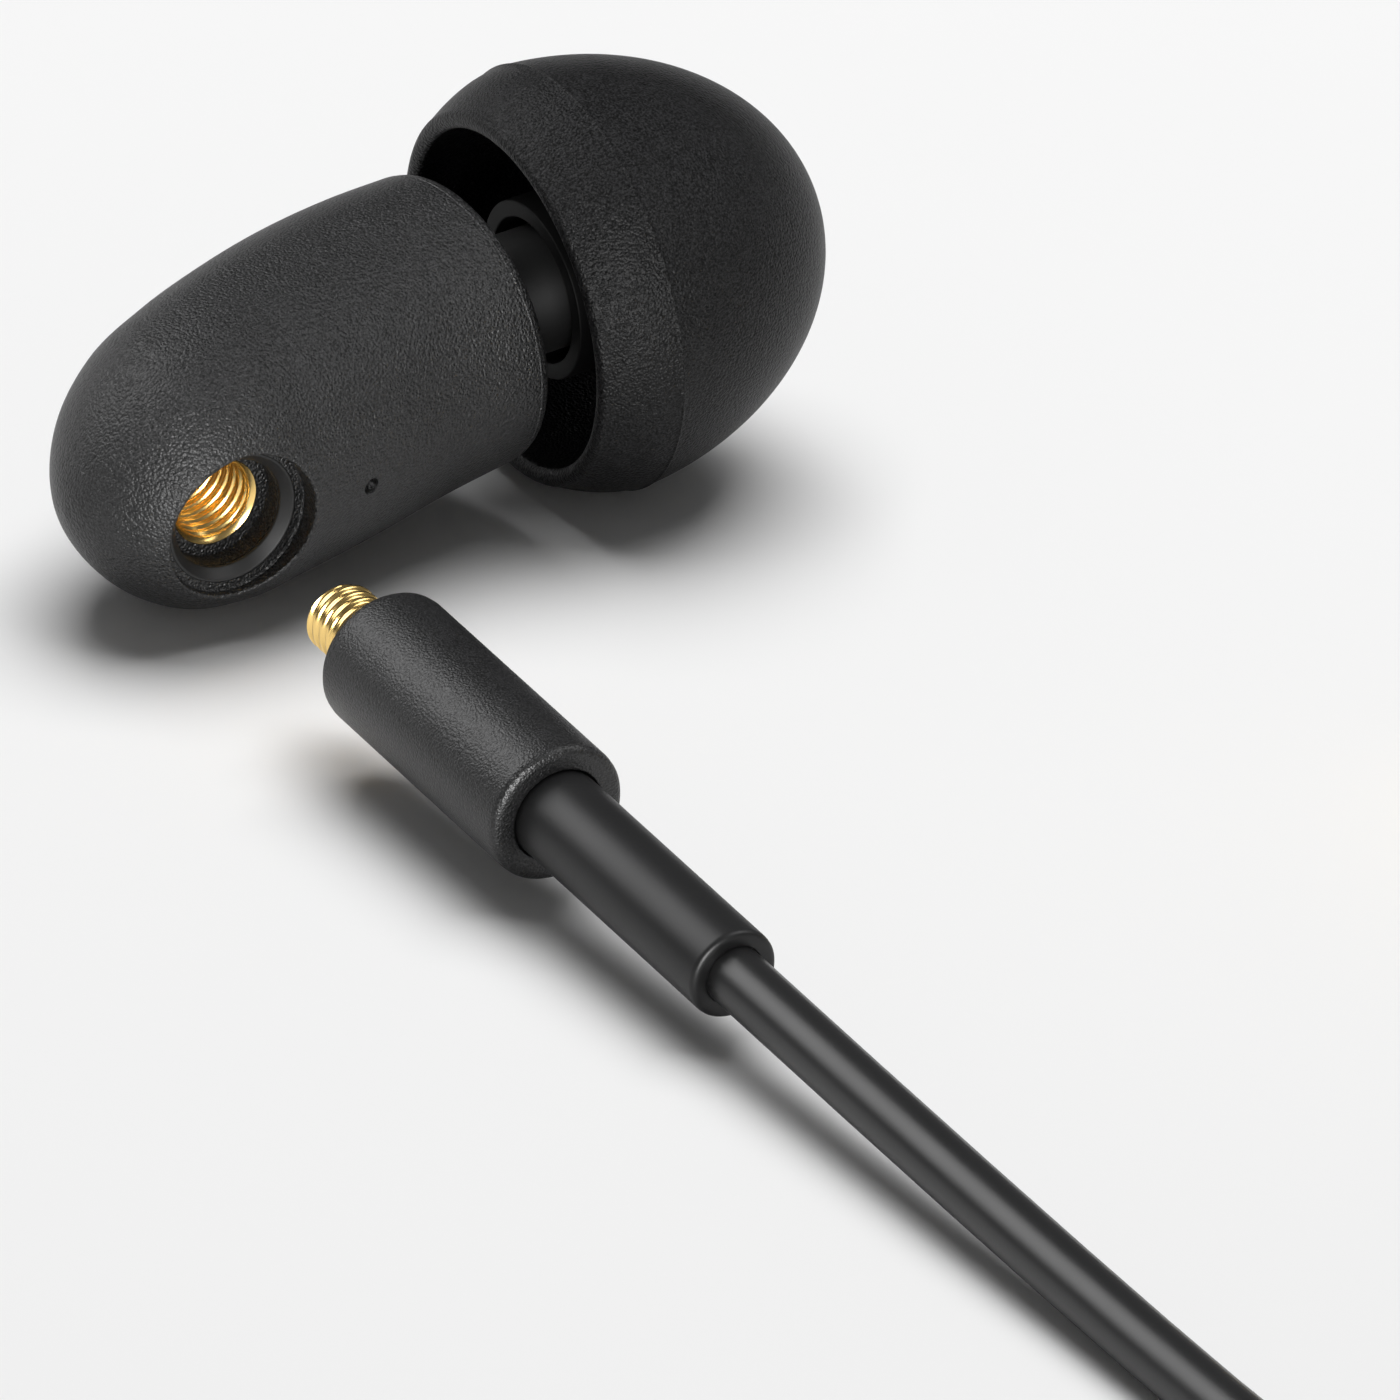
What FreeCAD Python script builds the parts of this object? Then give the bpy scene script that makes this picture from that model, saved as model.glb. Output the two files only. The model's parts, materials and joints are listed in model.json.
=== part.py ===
"""One in ear monitor earpiece with its ear tip and its detachable lead, in millimetres.

Two axes meet at the elbow of the earpiece. The nozzle axis runs out through the ear tip,
and the socket axis runs out through the threaded socket and along the lead's plug.
Pieces are turned about one of them, then the whole is laid down on its resting surface.
"""
import FreeCAD, Part
import math
import os

V = FreeCAD.Vector
Z_AXIS = V(0, 0, 1)
NOZZLE_AXIS = V(1, 0, 0)
SOCKET_AXIS = V(0, -1, 0)

# ---- how the earpiece lies -------------------------------------------------------------
NOSE_UP = 7.6            # degrees that the nozzle axis climbs from the surface
LEAD_DOWN = 3.75         # degrees that the socket axis falls towards the lead
ELBOW = V(-8.91, 0.15, 4.42)

# ---- shell ----------------------------------------------------------------------------
WALL = 0.8
FRONT_TILT = 7.8         # degrees that the front face leans back on its socket side
FRONT_ROUND = 0.35
# along the nozzle axis, centre's offset towards the socket's far side, centre's rise,
# half height, half width, lean of the section in degrees
SHELL_SECTIONS = [
    (10.7, 0.0, 0.0, 4.41, 4.41, 7.8),
    (8.0, -0.35, 0.0, 4.55, 4.55, 3.5),
    (5.45, -0.97, 0.05, 4.7, 4.6, 1.0),
    (2.9, -1.73, 0.13, 4.6, 4.55, 0.0),
    (0.82, -2.44, 0.21, 4.42, 4.4, 0.0),
    (-1.22, -2.92, 0.26, 3.9, 3.85, 0.0),
    (-2.62, -3.12, 0.26, 2.95, 2.85, 0.0),
    (-3.52, -3.22, 0.26, 1.75, 1.65, 0.0),
    (-3.94, -3.27, 0.26, 0.75, 0.7, 0.0),
]
SHELL_END = (-4.07, -3.29, 0.26)
# the hollow's own first sections, clear of the front cap's bore, and its end
HOLLOW_FRONT = [(9.8, -0.1, 0.0, 3.1, 3.1, 7.8), (8.0, -0.35, 0.0, 3.5, 3.5, 3.5)]
HOLLOW_END = (-2.82, -3.29, 0.26)
SECTION_POINTS = 16

# ---- socket, as distances from the elbow along the socket axis -------------------------
RECESS_RADIUS, RECESS_FLOOR = 2.3, 5.7
SEAT_RADIUS, SEAT_BOTTOM = 2.05, 5.3
SEAT_BORE, SEAT_BEVEL, SEAT_LAND = 1.7, 1.97, 0.12
BUSH_FACE, BUSH_BACK = 4.7, 1.5
BUSH_RADIUS, BUSH_BORE = 1.355, 1.165
BUSH_BEVEL = 0.06
PLAIN_BORE = 0.5          # unthreaded length at the bottom of the bushing
THREAD_PITCH, THREAD_DEPTH = 0.3, 0.09
CREST_LAND = 0.08         # flat left on each crest of the socket's thread
BOSS_RADIUS, BOSS_BACK, BOSS_FRONT = 2.9, 2.3, 6.2
NUT_RADIUS, NUT_BACK = 1.95, 1.65
INSULATOR_FRONT = 1.9
CONTACT_RADIUS, CONTACT_BORE = 0.34, 0.24
CONTACT_BACK, CONTACT_WEB, CONTACT_FRONT = 1.2, 2.2, 3.1
VENT_RADIUS = 0.25
VENT_AT = (4.4, -0.37)   # along the nozzle axis, and up from the plane of the two axes
SCREEN_RADIUS, SCREEN_BACK, SCREEN_FRONT = 0.5, 4.8, 5.3

# ---- nozzle and ear tip, as distances from the elbow along the nozzle axis -------------
FRONT_FACE = 10.7
FRONT_BORE, FRONT_BORE_DEPTH = 3.6, 1.3
CAP_RADIUS, CAP_BACK, CAP_THICK = 3.5, 1.15, 1.1
NOZZLE_BACK, NOZZLE_FRONT = 8.6, 19.4
NOZZLE_RADIUS, NOZZLE_BORE = 1.85, 1.3
NOZZLE_BEVEL = 0.15
BARB_RADIUS, BARB_AT = 2.15, 17.6
BARB_RISE, BARB_LAND, BARB_FALL = 0.3, 0.3, 0.8
MESH_AT, MESH_THICK = 18.9, 0.12
MESH_HOLE, MESH_PITCH, MESH_EDGE = 0.17, 0.52, 0.2
RING_BORE, RING_BACK, RING_FRONT = 1.05, 19.02, 19.3
DAMPER_BACK, DAMPER_FRONT = 14.0, 15.2
TIP_RIM, TIP_SEAM, TIP_FRONT = 12.2, 14.45, 22.19
RIM_RADIUS, RIM_BORE = 5.65, 5.1
TIP_RADIUS = 6.4
DOME_CENTRE = 13.85
STEM_RADIUS, STEM_BORE = 2.7, 2.2
STEM_BACK, STEM_FRONT, STEM_ROUND = 13.2, 20.5, 0.15
STEM_JOIN = 19.3         # where the hollow of the tip runs onto its stem
SOUND_HOLE = 1.8

# ---- driver, as distances from the elbow along the nozzle axis -------------------------
DRIVER_BACK, PLATE_BACK, PLATE_FRONT = 3.6, 6.3, 6.8
FLANGE_BACK, FLANGE_SEAT, FLANGE_FRONT = 6.9, 7.3, 7.7
BASKET_RADIUS, BASKET_BORE = 2.6, 2.3
FLANGE_RADIUS, FLANGE_BORE = 3.1, 2.9
YOKE_RADIUS, YOKE_BORE, YOKE_FLOOR = 1.9, 1.62, 0.5
SHOULDER_BACK, SHOULDER_FRONT = 1.2, 1.5     # of the basket, from the driver's back
MAGNET_RADIUS, PLATE_RADIUS = 1.2, 1.25
VOICE_RADIUS, VOICE_BORE, VOICE_BACK, VOICE_FRONT = 1.5, 1.35, 5.9, 7.34
FILM = 0.14
FILM_FACE = [(0, 7.93), (0.6, 7.86), (1.15, 7.62), (1.4, 7.35), (1.8, 7.56), (2.3, 7.58),
             (2.88, 7.32)]
GASKET_BORE, GASKET_BACK, GASKET_FRONT = 2.75, 7.75, 8.1
BOARD_THICK, BOARD_WIDTH, BOARD_HEIGHT, BOARD_GAP = 0.4, 2.4, 1.8, 0.02
PAD_THICK, PAD_WIDTH, PAD_HEIGHT = 0.12, 0.6, 0.9
PAD_SIDES = (-0.95, 0.35)
WIRE_RADIUS = 0.11
WIRES = [((2.96, -0.65, 0.25), (0.35, -1.0, 0.2)), ((2.96, 0.65, -0.25), (-0.9, -1.2, -0.5))]
WIRE_SAG = V(-0.4, 0.5, 0)

# ---- lead, as distances from the elbow along the socket axis ---------------------------
THREAD_TIP, HOUSING_FRONT, HOUSING_BACK, RELIEF_END = 11.6, 14.1, 23.7, 33.1
FLANGE_START, SLEEVE_END = 15.3, 16.2
THREAD_RADIUS, THREAD_BORE = 1.075, 0.8
HOUSING_RADIUS, HOUSING_BORE, HOUSING_ROUND = 2.1, 1.4, 0.38
PIN_RADIUS, PIN_TIP, PIN_BACK, PIN_POINT, PIN_TAPER = 0.2, 11.3, 17.4, 0.12, 0.15
PLUG_INSULATOR_RADIUS, PLUG_INSULATOR_FRONT, PLUG_INSULATOR_BACK = 0.76, 12.1, 16.9
FERRULE_RADIUS, FERRULE_FRONT, FERRULE_BACK = 1.2, 17.6, 20.2
RELIEF_RADIUS, RELIEF_ROUND, RELIEF_START = 1.35, 0.22, 20.4
CABLE_RADIUS = 0.875

# ---- the put-away coil and the jack plug, on the resting surface -----------------------
COIL_LAYERS = 4
COIL_TURNS_PER_LAYER = 4.75
COIL_MIDDLE = 9.6
COIL_WIDTH = COIL_TURNS_PER_LAYER * 2 * CABLE_RADIUS
COIL_INNER = COIL_MIDDLE - COIL_WIDTH / 2 - CABLE_RADIUS
COIL_OUTER = COIL_MIDDLE + COIL_WIDTH / 2 + CABLE_RADIUS
COIL_HEIGHT = COIL_LAYERS * 2 * CABLE_RADIUS
COIL_ROUND = 0.8
COIL_CENTRE = ELBOW + V(COIL_MIDDLE + COIL_WIDTH / 2, -77.0, -ELBOW.z)
TIE_WIDTH, TIE_THICK, TIE_ROUND, TIE_SLACK = 4.0, 0.45, 0.3, 0.3
LEAD_ROUTE = [V(-8.91, -53.6, 0.875), V(-8.81, -72.6, 0.875)]
TAIL_ROUTE = [V(18.5, -75.4, 6.1), V(19.7, -70.7, 5.3), V(20.8, -66.2, 3.8),
              V(21.2, -62.2, 3.0)]
# radii, and distances from the end of the tail along the jack
JACK_AXIS = V(0, 1, 0)
JACK_RADIUS, JACK_NOSE, JACK_BACK, JACK_EDGE = 3.0, 2.6, 2.5, 0.5
JACK_RELIEF_SMALL, JACK_RELIEF_LARGE = 1.3, 1.9
JACK_RELIEF_END, JACK_BARREL_END = 8.0, 20.0
CONTACT = 1.75
SLEEVE_FRONT, RING_START, RING_END, TIP_START = 26.6, 27.1, 29.0, 29.5
JACK_POINT = [(CONTACT, 30.6), (1.3, 31.2), (CONTACT, 32.1), (1.5, 33.3), (0.7, 34.0),
              (0, 34.0)]


def turned(profile):
    """Solid of revolution about Z of a closed outline of (radius, height) points.

    A point may carry a third item, the mid point of an arc that ends there.
    """
    edges = []
    last = profile[0]
    for item in profile[1:] + [profile[0][:2]]:
        start, end = V(last[0], 0, last[1]), V(item[0], 0, item[1])
        if len(item) == 3:
            edges.append(Part.Arc(start, V(item[2][0], 0, item[2][1]), end).toShape())
        elif start.distanceToPoint(end) > 1e-6:
            edges.append(Part.LineSegment(start, end).toShape())
        last = item
    face = Part.Face(Part.Wire(edges))
    return face.revolve(V(0, 0, 0), Z_AXIS, 360)


def tube(outer, inner, low, high):
    """Plain tube about Z, or a rod where inner is 0."""
    return turned([(inner, low), (outer, low), (outer, high), (inner, high)])


def on_axis(shape, axis, start=V(0, 0, 0)):
    """Turns a piece made about Z onto an axis through start."""
    placed = shape.copy()
    placed.Placement = FreeCAD.Placement(start, FreeCAD.Rotation(Z_AXIS, axis))
    return placed


def on_nozzle(shape):
    return on_axis(shape, NOZZLE_AXIS)


def on_socket(shape):
    return on_axis(shape, SOCKET_AXIS)


def corner(radius, height, size, turn):
    """Two outline points that round the corner (radius, height): in by size, out by size.

    turn says which way the outline goes round it: 'out-up' or 'up-in'.
    """
    k = size * (1 - math.sqrt(0.5))
    moves = {
        "out-up": ((radius - size, height), (radius, height + size), (radius - k, height + k)),
        "up-in": ((radius, height - size), (radius - size, height), (radius - k, height - k)),
    }
    first, second, middle = moves[turn]
    return [first, (second[0], second[1], middle)]


# ---- shell ----------------------------------------------------------------------------
def section_wire(along, offset, rise, half_height, half_width, lean):
    """One closed oval across the shell, leaning in the plane of the two axes."""
    tilt = math.radians(lean)
    points = []
    for i in range(SECTION_POINTS):
        a = 2 * math.pi * i / SECTION_POINTS
        up = half_height * math.cos(a)
        points.append(V(along - up * math.sin(tilt), offset + up * math.cos(tilt),
                        rise + half_width * math.sin(a)))
    curve = Part.BSplineCurve()
    curve.interpolate(Points=points, PeriodicFlag=True)
    return Part.Wire(curve.toShape())


def lofted(sections, end):
    wires = [section_wire(*s) for s in sections]
    return Part.makeLoft(wires + [Part.Vertex(*end)], True, False)


def shell_outside():
    """The closed outer form, with its front edge rounded."""
    body = lofted(SHELL_SECTIONS, SHELL_END)
    front = [e for e in body.Edges
             if e.BoundBox.XMin > FRONT_FACE - 1 and len(e.Vertexes) == 1]
    return body.makeFillet(FRONT_ROUND, front)


def shell_inside():
    """The hollow: the sections less the wall, and the bore for the front cap."""
    inner = HOLLOW_FRONT + [(x, y, up, a - WALL, w - WALL, lean)
                            for x, y, up, a, w, lean in SHELL_SECTIONS[2:7]]
    hollow = lofted(inner, HOLLOW_END)
    return hollow.fuse(on_front(tube(FRONT_BORE, 0, 0, FRONT_BORE_DEPTH + 1),
                                -FRONT_BORE_DEPTH))


def on_front(shape, start):
    """Sets a piece made about Z on the leaning front face's own axis."""
    lean = math.radians(FRONT_TILT)
    direction = V(math.cos(lean), math.sin(lean), 0)
    return on_axis(shape, direction, V(FRONT_FACE, 0, 0) + direction * start)


def socket_hole():
    """Everything that is drilled for the socket, from the surface inwards."""
    outside = 9
    return turned([(0, 0), (BUSH_RADIUS, 0), (BUSH_RADIUS, BUSH_FACE), (SEAT_BORE, BUSH_FACE),
                   (SEAT_BORE, SEAT_BOTTOM), (SEAT_RADIUS, SEAT_BOTTOM),
                   (SEAT_RADIUS, RECESS_FLOOR), (RECESS_RADIUS, RECESS_FLOOR),
                   (RECESS_RADIUS, outside), (0, outside)])


def at_vent(radius, low, high):
    return on_axis(tube(radius, 0, low, high), SOCKET_AXIS, V(VENT_AT[0], 0, VENT_AT[1]))


def body_shell():
    outside = shell_outside()
    boss = on_socket(tube(BOSS_RADIUS, 0, BOSS_BACK, BOSS_FRONT)).common(outside)
    vent = at_vent(VENT_RADIUS, BOSS_BACK, BOSS_FRONT + 2)
    return outside.cut([shell_inside().cut(boss), on_socket(socket_hole()), vent])


# ---- earpiece -------------------------------------------------------------------------
def front_cap():
    disc = on_front(tube(CAP_RADIUS, 0, 0, CAP_THICK), -CAP_BACK)
    return disc.cut(on_nozzle(tube(NOZZLE_RADIUS, 0, NOZZLE_BACK - 2, NOZZLE_FRONT)))


def nozzle_tube():
    """Sound tube with a snap ring near its front that holds the ear tip."""
    barb = BARB_AT + BARB_LAND
    return on_nozzle(turned([
        (NOZZLE_BORE, NOZZLE_BACK), (NOZZLE_RADIUS, NOZZLE_BACK),
        (NOZZLE_RADIUS, BARB_AT - BARB_RISE), (BARB_RADIUS, BARB_AT), (BARB_RADIUS, barb),
        (NOZZLE_RADIUS, barb + BARB_FALL), (NOZZLE_RADIUS, NOZZLE_FRONT - NOZZLE_BEVEL),
        (NOZZLE_RADIUS - NOZZLE_BEVEL, NOZZLE_FRONT), (NOZZLE_BORE, NOZZLE_FRONT)]))


def wax_mesh():
    """Screen with a hexagonal set of round holes."""
    disc = tube(NOZZLE_BORE, 0, MESH_AT, MESH_AT + MESH_THICK)
    holes = []
    for i in range(-2, 3):
        for j in range(-2, 3):
            x, y = MESH_PITCH * (i + 0.5 * j), MESH_PITCH * j * math.sqrt(0.75)
            if math.hypot(x, y) < NOZZLE_BORE - MESH_EDGE:
                holes.append(Part.makeCylinder(MESH_HOLE, 1.0, V(x, y, MESH_AT - 0.5)))
    return on_nozzle(disc.cut(holes))


def nozzle_parts():
    return {
        "front_cap": front_cap(),
        "nozzle_tube": nozzle_tube(),
        "wax_mesh": wax_mesh(),
        "mesh_retaining_ring": on_nozzle(tube(NOZZLE_BORE, RING_BORE, RING_BACK, RING_FRONT)),
        "acoustic_damper": on_nozzle(tube(NOZZLE_BORE, 0, DAMPER_BACK, DAMPER_FRONT)),
    }


def basket():
    shoulder, ledge = DRIVER_BACK + SHOULDER_BACK, DRIVER_BACK + SHOULDER_FRONT
    return turned([
        (YOKE_RADIUS, shoulder), (BASKET_RADIUS, shoulder), (BASKET_RADIUS, FLANGE_BACK),
        (FLANGE_RADIUS, FLANGE_BACK), (FLANGE_RADIUS, FLANGE_FRONT),
        (FLANGE_BORE, FLANGE_FRONT), (FLANGE_BORE, FLANGE_SEAT), (BASKET_BORE, FLANGE_SEAT),
        (BASKET_BORE, ledge), (YOKE_RADIUS, ledge)])


def driver_parts():
    """Small moving-coil driver that fires forwards into the nozzle."""
    floor = DRIVER_BACK + YOKE_FLOOR
    film = FILM_FACE + [(r, h + FILM) for r, h in reversed(FILM_FACE)]
    return {
        "driver_gasket": on_nozzle(tube(FLANGE_RADIUS, GASKET_BORE, GASKET_BACK, GASKET_FRONT)),
        "driver_basket": on_nozzle(basket()),
        "driver_diaphragm": on_nozzle(turned(film)),
        "voice_coil": on_nozzle(tube(VOICE_RADIUS, VOICE_BORE, VOICE_BACK, VOICE_FRONT)),
        "pole_plate": on_nozzle(tube(PLATE_RADIUS, 0, PLATE_BACK, PLATE_FRONT)),
        "driver_magnet": on_nozzle(tube(MAGNET_RADIUS, 0, floor, PLATE_BACK)),
        "yoke_cup": on_nozzle(turned([
            (0, DRIVER_BACK), (YOKE_RADIUS, DRIVER_BACK), (YOKE_RADIUS, PLATE_FRONT),
            (YOKE_BORE, PLATE_FRONT), (YOKE_BORE, floor), (0, floor)])),
        "terminal_board": terminal_board(),
    }


def terminal_board():
    """Board on the yoke's back, with two solder pads."""
    face = DRIVER_BACK - BOARD_GAP - BOARD_THICK
    board = Part.makeBox(BOARD_THICK, BOARD_WIDTH, BOARD_HEIGHT,
                         V(face, -BOARD_WIDTH / 2, -BOARD_HEIGHT / 2))
    pads = [Part.makeBox(PAD_THICK, PAD_WIDTH, PAD_HEIGHT,
                         V(face - PAD_THICK, side, -PAD_HEIGHT / 2)) for side in PAD_SIDES]
    return board.fuse(pads)


def signal_wires():
    """Two thin wires from the driver's terminals to the socket's back, as separate solids."""
    wires = []
    for start, finish in WIRES:
        a, b = V(*start), V(*finish)
        path = Part.Wire(Part.Arc(a, (a + b) * 0.5 + WIRE_SAG, b).toShape())
        direction = path.Edges[0].tangentAt(path.Edges[0].FirstParameter)
        disc = Part.Face(Part.Wire(Part.makeCircle(WIRE_RADIUS, a, direction)))
        wires.append(path.makePipe(disc))
    return Part.makeCompound(wires)


def ridged_bore():
    """Outline of the socket bushing: a bore with thread grooves, outside plain with a lip."""
    outline = [(BUSH_BORE, BUSH_BACK), (BUSH_RADIUS, BUSH_BACK), (BUSH_RADIUS, BUSH_FACE),
               (BUSH_BORE + BUSH_BEVEL, BUSH_FACE), (BUSH_BORE, BUSH_FACE - BUSH_BEVEL)]
    height = BUSH_FACE - BUSH_BEVEL - CREST_LAND
    while height - THREAD_PITCH > BUSH_BACK + PLAIN_BORE:
        outline += [(BUSH_BORE, height), (BUSH_BORE, height - CREST_LAND),
                    (BUSH_BORE + THREAD_DEPTH, height - (CREST_LAND + THREAD_PITCH) / 2)]
        height -= THREAD_PITCH
    return outline + [(BUSH_BORE, height)]


def socket_parts(shell):
    screen = at_vent(SCREEN_RADIUS, SCREEN_BACK, SCREEN_FRONT).cut(shell)
    return {
        "socket_bushing": on_socket(turned(ridged_bore())),
        "socket_seat_ring": on_socket(turned([
            (SEAT_BORE, SEAT_BOTTOM), (SEAT_RADIUS, SEAT_BOTTOM), (SEAT_RADIUS, RECESS_FLOOR),
            (SEAT_BEVEL, RECESS_FLOOR), (SEAT_BORE, SEAT_BOTTOM + SEAT_LAND)])),
        "socket_nut": on_socket(hex_nut(NUT_RADIUS, BUSH_RADIUS, NUT_BACK, BOSS_BACK)),
        "socket_insulator": on_socket(tube(BUSH_BORE, CONTACT_RADIUS, BUSH_BACK,
                                           INSULATOR_FRONT)),
        "socket_contact": on_socket(turned([
            (0, CONTACT_BACK), (CONTACT_RADIUS, CONTACT_BACK), (CONTACT_RADIUS, CONTACT_FRONT),
            (CONTACT_BORE, CONTACT_FRONT), (CONTACT_BORE, CONTACT_WEB), (0, CONTACT_WEB)])),
        "vent_screen": max(screen.Solids, key=lambda solid: solid.CenterOfMass.y),
    }


def hex_nut(radius, bore, low, high):
    corners = [V(radius * math.cos(math.radians(60 * i)), radius * math.sin(math.radians(60 * i)),
                 low) for i in range(7)]
    prism = Part.Face(Part.makePolygon(corners)).extrude(V(0, 0, high - low))
    return prism.cut(tube(bore, 0, low - 1, high + 1))


# ---- ear tip --------------------------------------------------------------------------
def dome_radius(along):
    """Outer radius of the tip's nose, an ellipsoid about the nozzle axis."""
    length = TIP_FRONT - DOME_CENTRE
    return TIP_RADIUS * math.sqrt(max(0.0, 1 - ((along - DOME_CENTRE) / length) ** 2))


def curve_edge(points):
    spline = Part.BSplineCurve()
    spline.interpolate([V(r, 0, h) for r, h in points])
    return spline.toShape()


def tip_dome():
    """Soft umbrella: a rounded rim, a skirt, a nose with the sound hole, hollow behind."""
    hole_at = DOME_CENTRE + (TIP_FRONT - DOME_CENTRE) * math.sqrt(
        1 - (SOUND_HOLE / TIP_RADIUS) ** 2)
    skirt = [(RIM_RADIUS, TIP_RIM + 0.2), (5.98, TIP_RIM + 0.85), (6.24, TIP_RIM + 1.55),
             (dome_radius(TIP_SEAM), TIP_SEAM)]
    steps = [TIP_SEAM, 15.6, 16.9, 18.2, 19.4, 20.4, 21.15, 21.6]
    nose = [(dome_radius(h), h) for h in steps] + [(SOUND_HOLE, hole_at)]
    under = [(STEM_RADIUS, STEM_JOIN), (3.4, 19.15), (4.2, 18.45), (5.0, 17.2), (5.55, 15.8),
             (5.62, 14.4), (5.4, 13.2), (RIM_BORE, TIP_RIM + 0.2)]
    rim = Part.Arc(V(RIM_BORE, 0, TIP_RIM + 0.2), V((RIM_BORE + RIM_RADIUS) / 2, 0, TIP_RIM),
                   V(RIM_RADIUS, 0, TIP_RIM + 0.2)).toShape()
    front = [(SOUND_HOLE, hole_at), (SOUND_HOLE, STEM_FRONT), (STEM_RADIUS, STEM_FRONT),
             (STEM_RADIUS, STEM_JOIN)]
    edges = [rim, curve_edge(skirt), curve_edge(nose)]
    edges += [Part.LineSegment(V(a[0], 0, a[1]), V(b[0], 0, b[1])).toShape()
              for a, b in zip(front, front[1:])]
    edges.append(curve_edge(under))
    return on_nozzle(Part.Face(Part.Wire(edges)).revolve(V(0, 0, 0), Z_AXIS, 360))


def tip_parts():
    stem = turned([(STEM_BORE, STEM_BACK)]
                  + corner(STEM_RADIUS, STEM_BACK, STEM_ROUND, "out-up")
                  + [(STEM_RADIUS, STEM_FRONT), (STEM_BORE, STEM_FRONT)])
    return {"tip_dome": tip_dome(), "tip_core": on_nozzle(stem)}


# ---- plug of the lead -----------------------------------------------------------------
def thread_sleeve():
    """Gold coupling thread: ridges outside, a flange that the housing is pressed on."""
    root = THREAD_RADIUS - THREAD_DEPTH
    outline = [(THREAD_BORE, THREAD_TIP), (root - 0.05, THREAD_TIP), (root, THREAD_TIP + 0.2)]
    height = THREAD_TIP + 0.3
    while height + THREAD_PITCH < HOUSING_FRONT - 0.2:
        outline += [(root, height), (THREAD_RADIUS, height + THREAD_PITCH * 0.45)]
        height += THREAD_PITCH
    outline += [(root, height), (root, FLANGE_START), (HOUSING_BORE, FLANGE_START),
                (HOUSING_BORE, SLEEVE_END), (THREAD_BORE, SLEEVE_END)]
    return on_socket(turned(outline))


def plug_housing():
    root = THREAD_RADIUS - THREAD_DEPTH
    return on_socket(turned(
        [(root, HOUSING_FRONT)] + corner(HOUSING_RADIUS, HOUSING_FRONT, HOUSING_ROUND, "out-up")
        + corner(HOUSING_RADIUS, HOUSING_BACK, HOUSING_ROUND, "up-in")
        + [(HOUSING_BORE, HOUSING_BACK), (HOUSING_BORE, FLANGE_START),
           (root, FLANGE_START)]))


def plug_parts():
    return {
        "plug_thread": thread_sleeve(),
        "plug_housing": plug_housing(),
        "plug_insulator": on_socket(tube(PLUG_INSULATOR_RADIUS, PIN_RADIUS,
                                         PLUG_INSULATOR_FRONT, PLUG_INSULATOR_BACK)),
        "plug_contact_pin": on_socket(turned([
            (0, PIN_TIP), (PIN_POINT, PIN_TIP), (PIN_RADIUS, PIN_TIP + PIN_TAPER),
            (PIN_RADIUS, PIN_BACK), (0, PIN_BACK)])),
        "crimp_ferrule": on_socket(tube(FERRULE_RADIUS, CABLE_RADIUS, FERRULE_FRONT,
                                        FERRULE_BACK)),
        "cable_tail": on_socket(tube(CABLE_RADIUS, 0, PIN_BACK, RELIEF_END)),
        "strain_relief": on_socket(turned(
            [(CABLE_RADIUS, RELIEF_START), (RELIEF_RADIUS, RELIEF_START)]
            + corner(RELIEF_RADIUS, RELIEF_END, RELIEF_ROUND, "up-in")
            + [(CABLE_RADIUS, RELIEF_END)])),
    }


# ---- laying down ----------------------------------------------------------------------
def resting_place():
    """Where the elbow's own frame stands when the object lies on its surface."""
    lean = FreeCAD.Rotation(V(1, 0, 0), LEAD_DOWN) * FreeCAD.Rotation(V(0, 1, 0), -NOSE_UP)
    return FreeCAD.Placement(ELBOW, lean)


def laid_down(parts):
    place = resting_place()
    laid = {}
    for name, shape in parts.items():
        copy = shape.copy()
        copy.Placement = place.multiply(copy.Placement)
        laid[name] = copy
    return laid


# ---- free part of the lead, on the resting surface -------------------------------------
def lead_point(distance):
    return resting_place().multVec(SOCKET_AXIS * distance)


def route_tube(name, points, radius):
    """Tube along straight runs joined by tangent arcs, as large as the runs allow."""
    edges, radii, last = [], [], points[0]
    for before, at, after in zip(points, points[1:], points[2:]):
        back, on = before - at, after - at
        shorter = min(back.Length, on.Length)
        back.normalize()
        on.normalize()
        turn = math.pi - back.getAngle(on)
        reach = 0.45 * shorter
        bend = reach / math.tan(turn / 2)
        radii.append(round(bend, 1))
        start, finish = at + back * reach, at + on * reach
        inward = (back + on).normalize()
        middle = at + inward * (bend / math.cos(turn / 2) - bend)
        edges.append(Part.LineSegment(last, start).toShape())
        edges.append(Part.Arc(start, middle, finish).toShape())
        last = finish
    edges.append(Part.LineSegment(last, points[-1]).toShape())
    path = Part.Wire(edges)
    disc = Part.Wire(Part.makeCircle(radius, points[0], points[1] - points[0]))
    solid = Part.Solid(path.makePipeShell([disc], True, False))
    expected = math.pi * radius ** 2 * path.Length
    print(f"{name}: radii {radii} mm, length {path.Length:.1f} mm, "
          f"volume {solid.Volume:.2f} of {expected:.2f} mm3")
    return solid


def coil_solid():
    """Outer shape of the put-away coil: one thick ring with rounded edges."""
    r = COIL_ROUND
    k = r * (1 - math.sqrt(0.5))
    ring = turned([
        (COIL_INNER + r, 0), (COIL_OUTER - r, 0), (COIL_OUTER, r, (COIL_OUTER - k, k)),
        (COIL_OUTER, COIL_HEIGHT - r),
        (COIL_OUTER - r, COIL_HEIGHT, (COIL_OUTER - k, COIL_HEIGHT - k)),
        (COIL_INNER + r, COIL_HEIGHT),
        (COIL_INNER, COIL_HEIGHT - r, (COIL_INNER + k, COIL_HEIGHT - k)), (COIL_INNER, r)])
    ring.translate(COIL_CENTRE)
    return ring


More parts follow.
